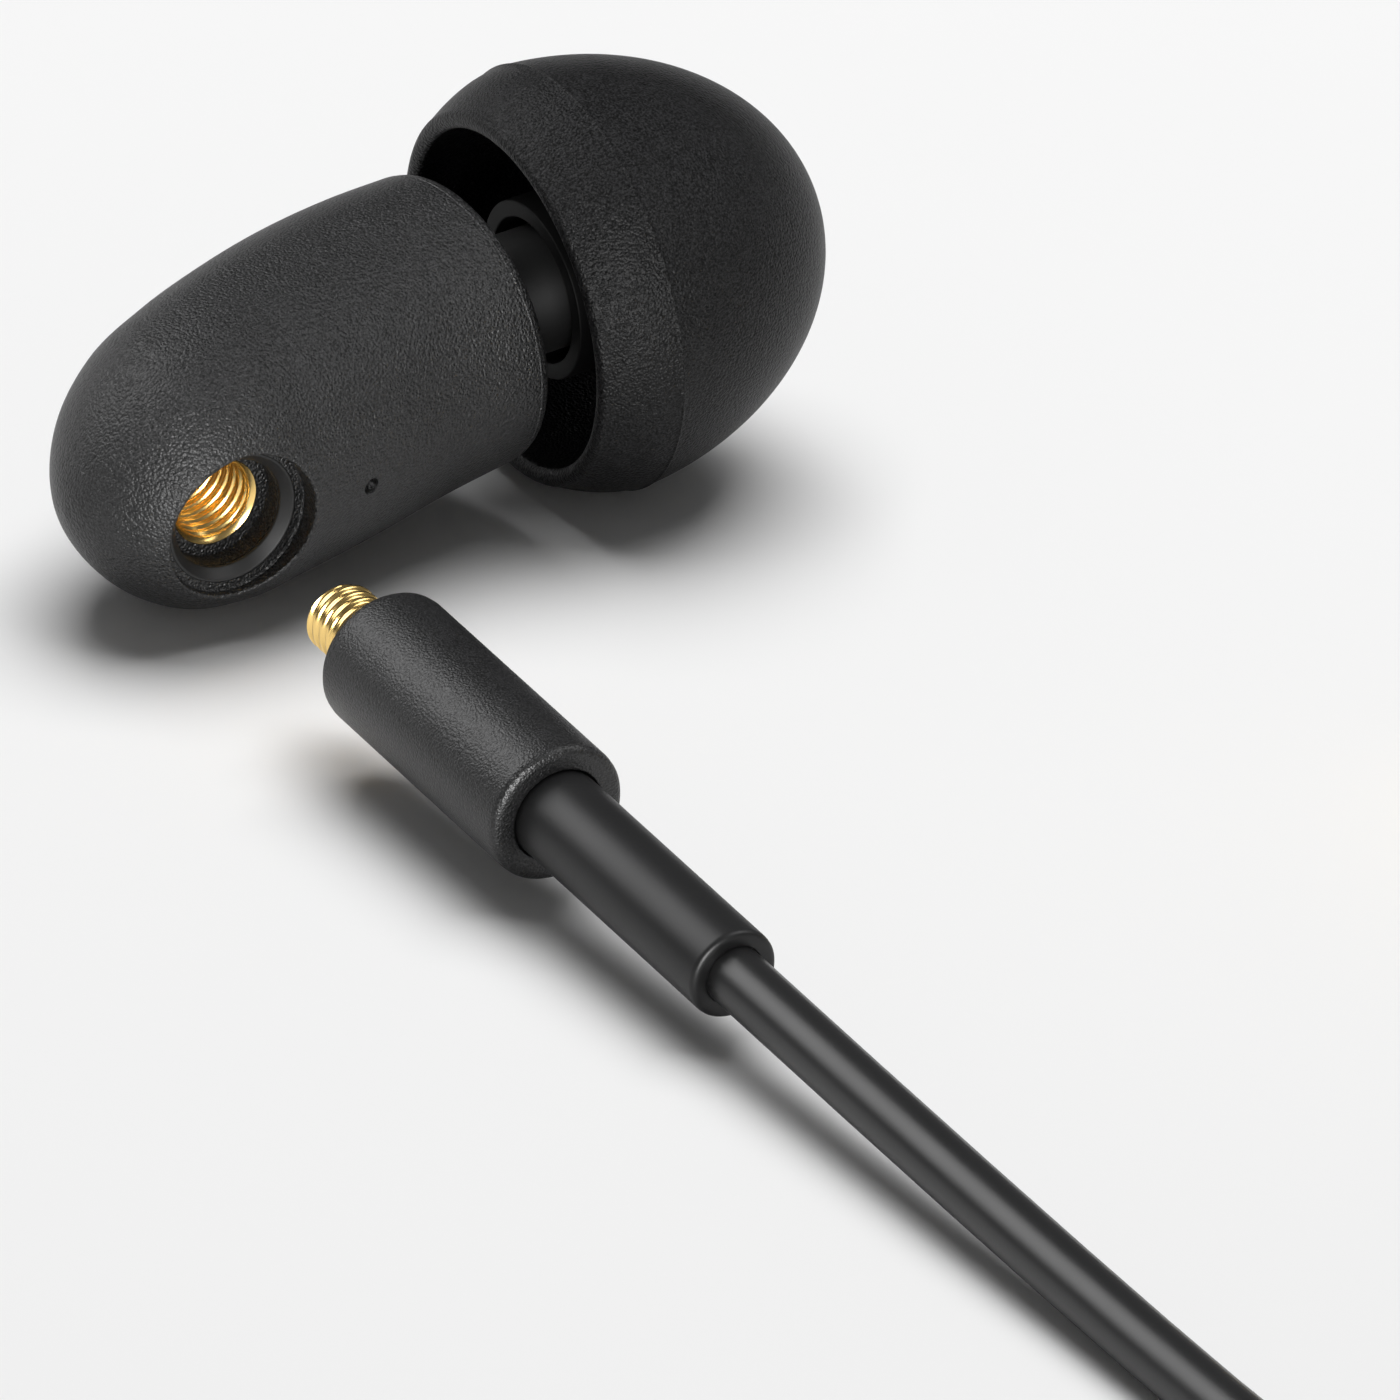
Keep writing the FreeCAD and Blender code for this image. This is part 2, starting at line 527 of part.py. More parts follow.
def coil_tie():
    """Flat strap round the coil's section, on the side away from the earpiece."""
    low, high = COIL_INNER + TIE_SLACK, COIL_OUTER - TIE_SLACK
    top = COIL_HEIGHT + TIE_SLACK
    outer = Part.makeBox(TIE_WIDTH, high - low + 2 * TIE_THICK, top,
                         V(-TIE_WIDTH / 2, -high - TIE_THICK, 0))
    inner = Part.makeBox(TIE_WIDTH, high - low, top - 2 * TIE_THICK,
                         V(-TIE_WIDTH / 2, -high, TIE_THICK))
    lengthwise = [e for e in outer.Edges if e.BoundBox.XLength > TIE_WIDTH - 1]
    strap = outer.makeFillet(TIE_ROUND, lengthwise).cut(inner)
    strap.translate(COIL_CENTRE)
    return strap


def jack_parts():
    """Stereo 3.5 mm jack plug on its side: relief, barrel and four-piece contact."""
    shapes = {
        "jack_strain_relief": turned([
            (0, 0), (JACK_RELIEF_SMALL, 0), (JACK_RELIEF_LARGE, JACK_RELIEF_END),
            (0, JACK_RELIEF_END)]),
        "jack_barrel": turned([
            (0, JACK_RELIEF_END), (JACK_BACK, JACK_RELIEF_END),
            (JACK_RADIUS, JACK_RELIEF_END + JACK_EDGE),
            (JACK_RADIUS, JACK_BARREL_END - JACK_EDGE), (JACK_NOSE, JACK_BARREL_END),
            (0, JACK_BARREL_END)]),
        "jack_sleeve": tube(CONTACT, 0, JACK_BARREL_END, SLEEVE_FRONT),
        "jack_insulator_rear": tube(CONTACT, 0, SLEEVE_FRONT, RING_START),
        "jack_ring": tube(CONTACT, 0, RING_START, RING_END),
        "jack_insulator_front": tube(CONTACT, 0, RING_END, TIP_START),
        "jack_tip": turned([(0, TIP_START), (CONTACT, TIP_START)] + JACK_POINT),
    }
    return {name: on_axis(shape, JACK_AXIS, TAIL_ROUTE[-1]) for name, shape in shapes.items()}


def lead_parts():
    tie, ring, jack = coil_tie(), coil_solid(), jack_parts()
    route = [lead_point(RELIEF_END)] + LEAD_ROUTE
    tail = route_tube("jack_cable", TAIL_ROUTE, CABLE_RADIUS)
    parts = {
        "lead_cable": route_tube("lead_cable", route, CABLE_RADIUS).cut(ring),
        "lead_coil": ring.cut(tie),
        "coil_tie": tie,
        "jack_cable": tail.cut([ring, jack["jack_strain_relief"]]),
    }
    parts.update(jack)
    return parts


def main():
    os.makedirs("parts", exist_ok=True)
    shell = body_shell()
    earpiece = {"body_shell": shell, "signal_wires": signal_wires()}
    for group in (nozzle_parts(), driver_parts(), socket_parts(shell), tip_parts(),
                  plug_parts()):
        earpiece.update(group)
    parts = laid_down(earpiece)
    parts.update(lead_parts())
    for name, shape in parts.items():
        if not shape.isValid() or shape.Volume <= 0:
            raise ValueError(f"{name} is not a sound solid")
        shape.exportStep(f"parts/{name}.step")
    print(len(parts), "nodes")


main()
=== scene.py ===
"""Looks of an in ear monitor: one earpiece with its ear tip and its detachable lead.

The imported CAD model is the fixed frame. Sizes of the object are in millimetres in this file
and become metres where a mesh is made. The nozzle axis runs out through the ear tip and the
socket axis runs out along the lead's plug, and both start at the earpiece's elbow.
"""

import json
import math

import bmesh
import bpy
import numpy as np
from mathutils import Matrix, Vector
from mathutils.bvhtree import BVHTree


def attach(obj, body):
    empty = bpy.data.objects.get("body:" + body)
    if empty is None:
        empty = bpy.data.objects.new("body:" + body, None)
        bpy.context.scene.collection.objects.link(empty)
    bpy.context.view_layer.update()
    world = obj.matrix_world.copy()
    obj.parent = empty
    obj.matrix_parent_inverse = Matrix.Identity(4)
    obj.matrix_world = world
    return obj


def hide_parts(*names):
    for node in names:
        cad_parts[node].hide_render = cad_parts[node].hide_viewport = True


bl_info = {
    "name": "In Ear Monitor",
    "version": (1, 0, 0),
    "blender": (4, 5, 0),
    "location": "3D View > Sidebar > In Ear Monitor",
    "description": "Builds the looks of an in ear monitor and its lead on its CAD frame",
    "category": "Object",
}

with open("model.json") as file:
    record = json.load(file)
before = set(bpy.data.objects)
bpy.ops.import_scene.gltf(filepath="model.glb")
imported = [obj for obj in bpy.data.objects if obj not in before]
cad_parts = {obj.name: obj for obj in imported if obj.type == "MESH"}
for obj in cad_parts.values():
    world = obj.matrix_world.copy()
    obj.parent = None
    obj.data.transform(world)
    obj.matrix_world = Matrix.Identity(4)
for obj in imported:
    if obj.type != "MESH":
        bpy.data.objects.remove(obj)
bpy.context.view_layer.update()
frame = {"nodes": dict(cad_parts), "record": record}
MM = 0.001

# ---- how the earpiece lies, and its two axes --------------------------------------------
ELBOW = Vector((-8.91, 0.15, 4.42))
NOSE_UP, LEAD_DOWN = math.radians(7.6), math.radians(3.75)
LAID = (Matrix.Translation(ELBOW) @ Matrix.Rotation(LEAD_DOWN, 4, "X")
        @ Matrix.Rotation(-NOSE_UP, 4, "Y"))
# each axis turns +Z onto the way that distances along it are measured
NOZZLE = LAID @ Matrix.Rotation(math.pi / 2, 4, "Y")
SOCKET = LAID @ Matrix.Rotation(math.pi / 2, 4, "X")
TAIL_ROUTE = [(19.7, -70.7, 5.3), (20.8, -66.2, 3.8), (21.2, -62.2, 3.0)]
JACK = Matrix.Translation(Vector(TAIL_ROUTE[-1])) @ Matrix.Rotation(-math.pi / 2, 4, "X")

# ---- shell: along the nozzle axis, offset, rise, half height, half width, lean ----------
SECTIONS = [
    (10.7, 0.0, 0.0, 4.41, 4.41, 7.8), (8.0, -0.35, 0.0, 4.55, 4.55, 3.5),
    (5.45, -0.97, 0.05, 4.7, 4.6, 1.0), (2.9, -1.73, 0.13, 4.6, 4.55, 0.0),
    (0.82, -2.44, 0.21, 4.42, 4.4, 0.0), (-1.22, -2.92, 0.26, 3.9, 3.85, 0.0),
    (-2.62, -3.12, 0.26, 2.95, 2.85, 0.0), (-3.52, -3.22, 0.26, 1.75, 1.65, 0.0),
    (-3.94, -3.27, 0.26, 0.75, 0.7, 0.0), (-4.07, -3.29, 0.26, 0.0, 0.0, 0.0),
]
SHELL_ROWS, SHELL_SEGMENTS = 150, 256
FRONT_ROUND, CAP_BORE, CAP_DEPTH, CAP_BEVEL = 0.35, 3.55, 1.2, 0.08
EDGE_LINE_WIDTH, EDGE_LINE_HEIGHT = 0.07, 0.02
LIP_INSET, LIP_DEPTH = 1.9, 2.0
INSIDE_END = Vector((8.6, -0.3, 0.0))
RECESS, RECESS_FLOOR, SEAT, SEAT_BOTTOM, SEAT_BORE = 2.3, 5.7, 2.05, 5.3, 1.7
SEAT_BEVEL = (1.97, 5.42)
VENT_AT, VENT = (4.4, -0.37), 0.25
# how far round each hole the shell's mesh is opened, on the side that faces the lead only
RECESS_CLEAR, VENT_CLEAR, LEAD_SIDE = 2.75, 0.42, -2

# ---- sound tube and its barb ------------------------------------------------------------
TUBE_BACK, TUBE_END, TUBE_BORE, TUBE_RADIUS = 8.6, 19.4, 1.3, 1.85
TUBE_GROOVE = [(1.85, 11.4), (1.85, 11.5), (1.78, 11.55), (1.78, 11.75), (1.85, 11.8)]
TUBE_BARB = [(1.85, 17.3), (2.15, 17.6), (2.15, 17.9), (1.85, 18.7)]

# ---- socket thread, plug thread and the lead --------------------------------------------
PITCH, THREAD_DEPTH, THREAD_STEP = 0.36, 0.11, 0.025
BUSH_BORE, BUSH_RADIUS, BUSH_BACK, BUSH_FACE = 1.165, 1.355, 1.5, 4.7
BUSH_MOUTH = BUSH_FACE - 0.14
PLUG_RADIUS, PLUG_BORE, PLUG_TIP, HOUSING_FRONT = 1.075, 0.8, 11.6, 14.1
PLUG_HEAD, PLUG_HEAD_FRONT, PLUG_BACK = 1.4, 15.3, 16.2
HOUSING_RADIUS, HOUSING_BACK = 2.1, 23.7
RELIEF_RADIUS, RELIEF_START, RELIEF_END = 1.35, 20.4, 33.1
CABLE_RADIUS = 0.875
LEAD_ROUTE = [(-8.91, -53.6, 0.875), (-8.86, -66.0, 0.875)]

# ---- ear tip: outlines are (radius, along) ----------------------------------------------
TIP_SEAM, TIP_FRONT, TIP_RADIUS, DOME_CENTRE = 14.45, 22.19, 6.4, 13.85
SEAM_HEIGHT, SEAM_WIDTH = 0.03, 0.028
SKIRT = [(5.65, 12.4), (5.98, 13.05), (6.24, 13.75)]
SKIRT_EDGE, SKIRT_EDGE_WIDTH, SKIRT_EDGE_ROUND = (5.375, 12.4), 0.275, 0.2
UNDERSIDE = [(2.7, 19.3), (3.4, 19.15), (4.2, 18.45), (5.0, 17.2), (5.55, 15.8),
             (5.62, 14.4), (5.4, 13.2), (5.1, 12.4)]
SOUND_HOLE, STEM_RADIUS, STEM_BORE, STEM_BACK, STEM_FRONT = 1.8, 2.7, 2.2, 13.2, 20.5

# ---- put-away coil and its strap --------------------------------------------------------
COIL_CENTRE = (4.846, -76.85)
COIL_OUTER, COIL_INNER = 13.756, 5.444
COIL_LAYERS, COIL_TURNS, POINTS_PER_TURN = 4, 4.625, 16
# part of a turn over which the coil climbs onto its next layer
COIL_CLIMB = 0.25
STRAP_THICK, STRAP_WIDE, STRAP_CORNER, STRAP_PUFF = 0.42, 4.0, 0.9, 0.04
STRAP_NEAR, STRAP_FAR, STRAP_TOP = 4.419, 14.781, 7.3

# ---- jack: outlines are (radius, along) -------------------------------------------------
JACK_RADIUS, GRIP_RADIUS = 1.75, 3.0
BOOT_START, BOOT_END, BOOT_RIB, BOOT_RIBS = 1.3, 1.9, 1.2, 5
GRIP_BACK, GRIP_FRONT = 8.0, 20.0
GRIP_REAR = [(2.5, 8.0), (3.0, 8.5), (3.0, 9.6), (2.93, 9.65), (2.93, 9.85), (3.0, 9.9)]
FLUTES, FLUTE_DEPTH, FLUTES_FROM, FLUTES_TO, FLUTE_FADE = 48, 0.06, 10.5, 17.5, 0.6
# name, node, slot and the two ends of each straight part of the jack's pin
JACK_RODS = [
    ("jack_contact_sleeve", "jack_sleeve", "gold", GRIP_FRONT, 26.6),
    ("jack_collar_rear", "jack_insulator_rear", "black_insulator", 26.6, 27.1),
    ("jack_contact_ring", "jack_ring", "gold", 27.1, 29.0),
    ("jack_collar_front", "jack_insulator_front", "black_insulator", 29.0, 29.5),
]
JACK_TIP = [(0, 29.5), (1.75, 29.5), (1.75, 30.6), (1.3, 31.2), (1.75, 32.1), (1.5, 33.3),
            (0.7, 34.0), (0, 34.0)]

# ---- stage ------------------------------------------------------------------------------
# the camera looks this far right of and below the elbow, in millimetres
AIM_RIGHT, AIM_DOWN = 16.12, 7.76
# the floor and the lamps are in metres; the floor lies just under the lowest piece
FLOOR_HALF, FLOOR_DROP = 2.5, 0.00004
KEY_SPOT, KEY_SIZE = (0.1, 0.09, 0.6), 0.56
# cards seen only in reflections: place, width, height, share of the key's power
CARDS = {
    "back_card": ((-0.17, 0.23, 0.27), 0.3, 0.3, 0.24),
    "front_card": ((-0.14, -0.32, 0.05), 0.16, 0.12, 0.42),
    "top_card": ((0.16, -0.12, 0.26), 0.2, 0.2, 0.09),
}


class EarpieceLook(bpy.types.PropertyGroup):
    shell_colour: bpy.props.FloatVectorProperty(
        name="Shell colour", description="Colour of the moulded shell", subtype="COLOR",
        size=4, min=0, max=1, default=(0.012, 0.012, 0.0125, 1))
    tip_colour: bpy.props.FloatVectorProperty(
        name="Ear tip colour", description="Colour of the silicone ear tip",
        subtype="COLOR", size=4, min=0, max=1, default=(0.010, 0.010, 0.0105, 1))
    grain_size: bpy.props.FloatProperty(
        name="Grain size", description="Width of one cell of the moulded grain",
        subtype="DISTANCE", unit="LENGTH", default=0.0001, min=0.00005, max=0.001)
    grain_depth: bpy.props.FloatProperty(
        name="Grain depth", description="Height of the moulded grain",
        subtype="DISTANCE", unit="LENGTH", default=0.000046, min=0, max=0.0002)
    rim_roll: bpy.props.FloatProperty(
        name="Rim roll", description="Rounding of the socket recess's rim",
        subtype="DISTANCE", unit="LENGTH", default=0.00015, min=0.00005, max=0.0005)


class LeadLook(bpy.types.PropertyGroup):
    length: bpy.props.FloatProperty(
        name="Lead length", description="Whole length of the free cable",
        subtype="DISTANCE", unit="LENGTH", default=1.17, min=1.1, max=1.25)
    diameter: bpy.props.FloatProperty(
        name="Cable diameter", description="Outer diameter of the cable's jacket",
        subtype="DISTANCE", unit="LENGTH", default=2 * CABLE_RADIUS * MM, min=0.001,
        max=0.003)
    jacket_colour: bpy.props.FloatVectorProperty(
        name="Jacket colour", description="Colour of the cable's jacket and strain reliefs",
        subtype="COLOR", size=4, min=0, max=1, default=(0.013, 0.013, 0.0135, 1))
    gold_colour: bpy.props.FloatVectorProperty(
        name="Plating colour", description="Colour of the gold plated contacts",
        subtype="COLOR", size=4, min=0, max=1, default=(1.0, 0.70, 0.26, 1))


class StageLook(bpy.types.PropertyGroup):
    azimuth: bpy.props.FloatProperty(
        name="Azimuth", description="Camera's turn round the object", subtype="ANGLE",
        unit="ROTATION", default=math.radians(-32.95))
    elevation: bpy.props.FloatProperty(
        name="Elevation", description="Camera's height over the floor", subtype="ANGLE",
        unit="ROTATION", default=math.radians(26.24))
    roll: bpy.props.FloatProperty(
        name="Roll", description="Camera's turn about its own line of sight",
        subtype="ANGLE", unit="ROTATION", default=math.radians(3.5))
    distance: bpy.props.FloatProperty(
        name="Distance", description="Camera's distance from the elbow's plane",
        subtype="DISTANCE", unit="LENGTH", default=0.6)
    lens: bpy.props.FloatProperty(
        name="Lens", description="Focal length on a 36 mm sensor", default=543.4,
        unit="CAMERA")
    floor_colour: bpy.props.FloatVectorProperty(
        name="Floor colour", description="Colour of the pale floor", subtype="COLOR",
        size=4, min=0, max=1, default=(0.86, 0.86, 0.86, 1))
    key_power: bpy.props.FloatProperty(
        name="Key light", description="Power of the large soft light overhead",
        unit="POWER", default=4.6, min=0)
    fill: bpy.props.FloatProperty(
        name="Fill", description="Strength of the light from all round", default=0.12,
        min=0)


# ---- finishes ---------------------------------------------------------------------------
class Value:
    """A shader socket: arithmetic on it adds Math nodes to its finish."""

    def __init__(self, finish, socket):
        self.finish, self.socket = finish, socket

    def maths(self, operation, *terms):
        return self.finish.node("ShaderNodeMath", {"operation": operation},
                                dict(enumerate(terms)))

    def __add__(self, other):
        return self.maths("ADD", self, other)

    def __mul__(self, other):
        return self.maths("MULTIPLY", self, other)

    def __sub__(self, other):
        return self.maths("SUBTRACT", self, other)

    def __rsub__(self, other):
        return self.maths("SUBTRACT", other, self)

    __radd__, __rmul__ = __add__, __mul__


class Finish:
    """A new material on one Principled shader."""

    def __init__(self, name, **constants):
        self.material = bpy.data.materials.new(name)
        self.material.use_nodes = True
        self.tree = self.material.node_tree
        self.shader = self.tree.nodes["Principled BSDF"]
        for socket, value in constants.items():
            self.shader.inputs[socket.replace("_", " ")].default_value = value

    def node(self, kind, settings=None, inputs=None, output=0):
        node = self.tree.nodes.new(kind)
        for key, value in (settings or {}).items():
            setattr(node, key, value)
        for socket, value in (inputs or {}).items():
            self.feed(node.inputs[socket], value)
        return Value(self, node.outputs[output])

    def feed(self, socket, value):
        if isinstance(value, Value):
            self.tree.links.new(value.socket, socket)
        else:
            socket.default_value = value

    def place(self):
        return self.node("ShaderNodeTexCoord", output="Object")

    def noise(self, size, detail=2.0, roughness=0.5):
        """Soft noise on a grid of size millimetres."""
        return self.node("ShaderNodeTexNoise", {},
                         {"Vector": self.place(), "Scale": 1 / (size * MM),
                          "Detail": detail, "Roughness": roughness})

    def cells(self, size, feature="SMOOTH_F1"):
        """Distance from the middle of cells about size millimetres wide."""
        settings = {"feature": feature}
        inputs = {"Vector": self.place(), "Scale": 1 / (size * MM)}
        if feature == "SMOOTH_F1":
            inputs["Smoothness"] = 0.35
        return self.node("ShaderNodeTexVoronoi", settings, inputs, "Distance")

    def mix(self, factor, first, second):
        return self.node("ShaderNodeMix", {"data_type": "RGBA"},
                         {0: factor, 6: first, 7: second}, 2)

    def clamp(self, value):
        return self.node("ShaderNodeMath", {"operation": "ADD", "use_clamp": True},
                         {0: value, 1: 0.0})

    def surface(self, colour, roughness, height=None, depth=0.0):
        self.feed(self.shader.inputs["Base Color"], colour)
        self.feed(self.shader.inputs["Roughness"], roughness)
        if height is not None:
            bump = self.node("ShaderNodeBump", {},
                             {"Strength": 1.0, "Distance": depth, "Height": height},
                             "Normal")
            self.feed(self.shader.inputs["Normal"], bump)
        return self.material


def shade(colour, factor):
    """The colour made darker or lighter by a factor."""
    return tuple(c * factor for c in colour[:3]) + (1.0,)


def grained(name, colour, cell, depth, rough, spread=0.12, level=0.5):
    """Moulded black plastic or silicone: fine grain, with painted glints that lighten its
    crests.
    """
    f = Finish(name, Specular_IOR_Level=level)
    pebble, fine, broad = f.cells(cell), f.noise(cell * 0.66, 1.5, 0.55), f.noise(cell * 14)
    height = (1 - pebble) * 0.8 + fine * 0.8
    # speck is painted glints: lighter where the fine noise raises the grain's crests, with
    # random tone from the broad noise
    speck = f.clamp((fine - 0.5) * 5 + broad * 0.4 + 0.2)
    tint = f.mix(speck, shade(colour, 0.2), shade(colour, 2.6))
    return f.surface(tint, rough - spread / 2 + fine * spread * 0.6 + broad * spread * 0.4,
                     height, depth)


def satin(name, colour, rough=0.4, speck=0.12, depth=0.000002, coat=0.0, level=0.5):
    """Smooth rubber or polymer with a faint speckle."""
    f = Finish(name, Coat_Weight=coat, Coat_Roughness=0.3, Specular_IOR_Level=level)
    fine, broad = f.noise(speck, 2, 0.6), f.noise(speck * 25, 2)
    tint = f.mix(fine * 0.5 + broad * 0.5, shade(colour, 0.85), shade(colour, 1.15))
    return f.surface(tint, rough - 0.04 + broad * 0.08, fine, depth)


def plated(name, colour, rough=0.2):
    """Polished or turned metal with faint tool marks."""
    f = Finish(name, Metallic=1.0)
    marks, broad = f.noise(0.05, 2, 0.6), f.noise(0.9, 2)
    tint = f.mix(broad, shade(colour, 0.86), shade(colour, 1.06))
    return f.surface(tint, rough - 0.05 + marks * 0.06 + broad * 0.06, marks, 0.0000012)


def open_foam(name, colour):
    """Foam with pores painted darker, as shade in their hollows."""
    f = Finish(name)
    pores = f.cells(0.12, "F1")
    # painted shade: the colour darkens towards each pore's middle, where the bump is lowest
    tint = f.mix(pores, shade(colour, 0.4), shade(colour, 1.1))
    return f.surface(tint, 0.8 + pores * 0.15, pores, 0.00003)


def woven(name, colour):
    """Hook and loop webbing: crossed threads and a little fluff, with painted shade between
    the threads.
    """
    f = Finish(name, Sheen_Weight=0.3)
    bands = [f.node("ShaderNodeTexWave",
                    {"wave_type": "BANDS", "bands_direction": way},
                    {"Vector": f.place(), "Scale": 700.0, "Distortion": 0.6, "Detail": 1.0})
             for way in ("X", "DIAGONAL")]
    fluff = f.noise(0.09, 3, 0.7)
    weave = bands[0] * 0.5 + bands[1] * 0.5
    # painted shade: the colour darkens where the weave's bump sinks between threads and
    # lightens on their tops; fluff adds tone too
    tint = f.mix(weave * 0.6 + fluff * 0.4, shade(colour, 0.55), shade(colour, 1.5))
    return f.surface(tint, 0.75 + fluff * 0.2, weave + fluff * 0.5, 0.00005)


def make_finishes(ear, lead):
    """One finish for each material slot of the record."""
    cell, depth = ear.grain_size / MM, ear.grain_depth
    shell, tip, jacket, gold = (tuple(c) for c in (ear.shell_colour, ear.tip_colour,
                                                   lead.jacket_colour, lead.gold_colour))
    return {
        "shell_black": grained("shell_black", shell, cell, depth, 0.43),
        "tip_silicone": grained("tip_silicone", tip, cell * 0.95, depth * 0.9, 0.42,
                                level=0.16),
        # the stem is painted at half the tip's colour, as shade inside the ear tip's hollow
        "core_silicone": satin("core_silicone", shade(tip, 0.5), 0.6, level=0.15),
        "nozzle_black": satin("nozzle_black", shade(shell, 0.8), 0.5, 0.1),
        "housing_black": grained("housing_black", shade(shell, 0.9), cell * 0.8,
                                 depth * 0.42, 0.4),
        "relief_rubber": satin("relief_rubber", jacket, 0.42, 0.1, level=0.35),
        "cable_jacket": satin("cable_jacket", jacket, 0.38, 0.15),
        "gold": plated("gold", gold),
        "steel": plated("steel", (0.55, 0.55, 0.56, 1), 0.28),
        "magnet": plated("magnet", (0.62, 0.61, 0.58, 1), 0.2),
        "copper": plated("copper", (0.72, 0.3, 0.13, 1), 0.24),
        "film": satin("film", (0.5, 0.43, 0.3, 1), 0.2, 0.3, coat=0.4),
        "foam": open_foam("foam", (0.62, 0.12, 0.08, 1)),
        "board": satin("board", (0.01, 0.09, 0.035, 1), 0.25, 0.4, coat=0.5),
        "insulator": satin("insulator", (0.8, 0.78, 0.72, 1), 0.4),
        "black_insulator": satin("black_insulator", (0.02, 0.02, 0.02, 1), 0.35),
        "strap": woven("strap", (0.02, 0.02, 0.021, 1)),
    }


FINISHES = {}


# ---- mesh helpers -----------------------------------------------------------------------
TINY = 1e-6
# a corner that turns less than this stays, and a rounding takes at most this part of a side
SMOOTH_TURN, MOST_REACH = math.radians(18), 0.42


def add_piece(name, bm, body, slot, nodes, sharp=38.0):
    """Makes the mesh a piece that rides on body and stands for the CAD nodes."""
    bmesh.ops.recalc_face_normals(bm, faces=bm.faces)
    for face in bm.faces:
        face.smooth = True
    mesh = bpy.data.meshes.new(name)
    bm.to_mesh(mesh)
    bm.free()
    mesh.set_sharp_from_angle(angle=math.radians(sharp))
    piece = bpy.data.objects.new(name, mesh)
    bpy.context.scene.collection.objects.link(piece)
    return settle(piece, body, slot, nodes)


def settle(piece, body, slot, nodes):
    piece.data.materials.append(FINISHES[slot])
    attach(piece, body)
    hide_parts(*nodes)
    return piece


def soften(outline, size, steps=4):
    """Rounds the corners of a closed outline of (radius, along) points.

    A third value in a point is that corner's own size.
    """
    points = [Vector(p[:2]) for p in outline]
    sizes = [p[2] if len(p) > 2 else size for p in outline]
    soft = []
    for i, at in enumerate(points):
        back, on = points[i - 1] - at, points[(i + 1) % len(points)] - at
        turn = math.pi - back.angle(on, math.pi)
        if turn < SMOOTH_TURN or at.x < TINY:
            soft.append(at)
            continue
        reach = min(sizes[i], MOST_REACH * back.length, MOST_REACH * on.length)
        start, end = at + back.normalized() * reach, at + on.normalized() * reach
        for k in range(steps + 1):
            t = k / steps
            soft.append(start * (1 - t) ** 2 + at * 2 * t * (1 - t) + end * t ** 2)
    return [(p.x, p.y) for p in soft]


def revolve(outline, axis, segments=160, ripple=None):
    """Turns an outline of (radius, along) points about an axis.

    ripple(radius, along, angle) may change the radius.
    """
    bm = bmesh.new()
    rings = []
    for radius, along in outline:
        count = segments if radius > TINY else 1
        ring = []
        for j in range(count):
            angle = 2 * math.pi * j / segments
            r = ripple(radius, along, angle) if ripple else radius
            spot = axis @ Vector((r * math.cos(angle), r * math.sin(angle), along))
            ring.append(bm.verts.new(spot * MM))
        rings.append(ring)
    for a, b in zip(rings, rings[1:] + rings[:1]):
        join_rings(bm, a, b)
    return bm


def join_rings(bm, a, b):
    """Faces between two rings of verts, either of which may be one pole."""
    if len(a) == 1 and len(b) == 1:
        return
    count = max(len(a), len(b))
    for j in range(count):
        k = (j + 1) % count
        corners = [a[j % len(a)], a[k % len(a)], b[k % len(b)], b[j % len(b)]]
        unique = list(dict.fromkeys(corners))
        if len(unique) > 2:
            bm.faces.new(unique)


def turned_piece(name, outline, axis, body, slot, nodes, size=0.05, segments=160,
                 ripple=None):
    bm = revolve(soften(outline, size), axis, segments, ripple)
    return add_piece(name, bm, body, slot, nodes)


def through(stations, count):
    """Smooth rows between stations, closer together where the stations are."""
    rows = np.array(stations, float)
    steps = np.sqrt((np.diff(rows[:, [0, 1, 3]], axis=0) ** 2).sum(1))
    s = np.concatenate([[0], np.cumsum(steps)])
    slope = np.gradient(rows, s, axis=0)
    out = []
    for u in np.linspace(0, s[-1], count):
        i = min(np.searchsorted(s, u, side="right") - 1, len(s) - 2)
        w = s[i + 1] - s[i]
        t = (u - s[i]) / w
        out.append((2 * t ** 3 - 3 * t ** 2 + 1) * rows[i] + (t ** 3 - 2 * t ** 2 + t)
                   * w * slope[i] + (3 * t ** 2 - 2 * t ** 3) * rows[i + 1]
                   + (t ** 3 - t ** 2) * w * slope[i + 1])
    return out


def smooth_outline(outline, count):
    """A smooth run of (radius, along) points through an outline."""
    return [(row[0], row[1]) for row in through([(*p, 0, 0) for p in outline], count)]


# ---- shell ------------------------------------------------------------------------------
def shell_point(row, angle, inset=0.0, back=0.0):
    """Point of one oval section, in the elbow's own frame, in millimetres."""
    along, offset, rise, tall, wide, lean = row
    lean = math.radians(lean)
    up = (tall - inset) * math.cos(angle)
    return Vector((along - up * math.sin(lean) - back * math.cos(lean),
                   offset + up * math.cos(lean) - back * math.sin(lean),
                   rise + (wide - inset) * math.sin(angle)))


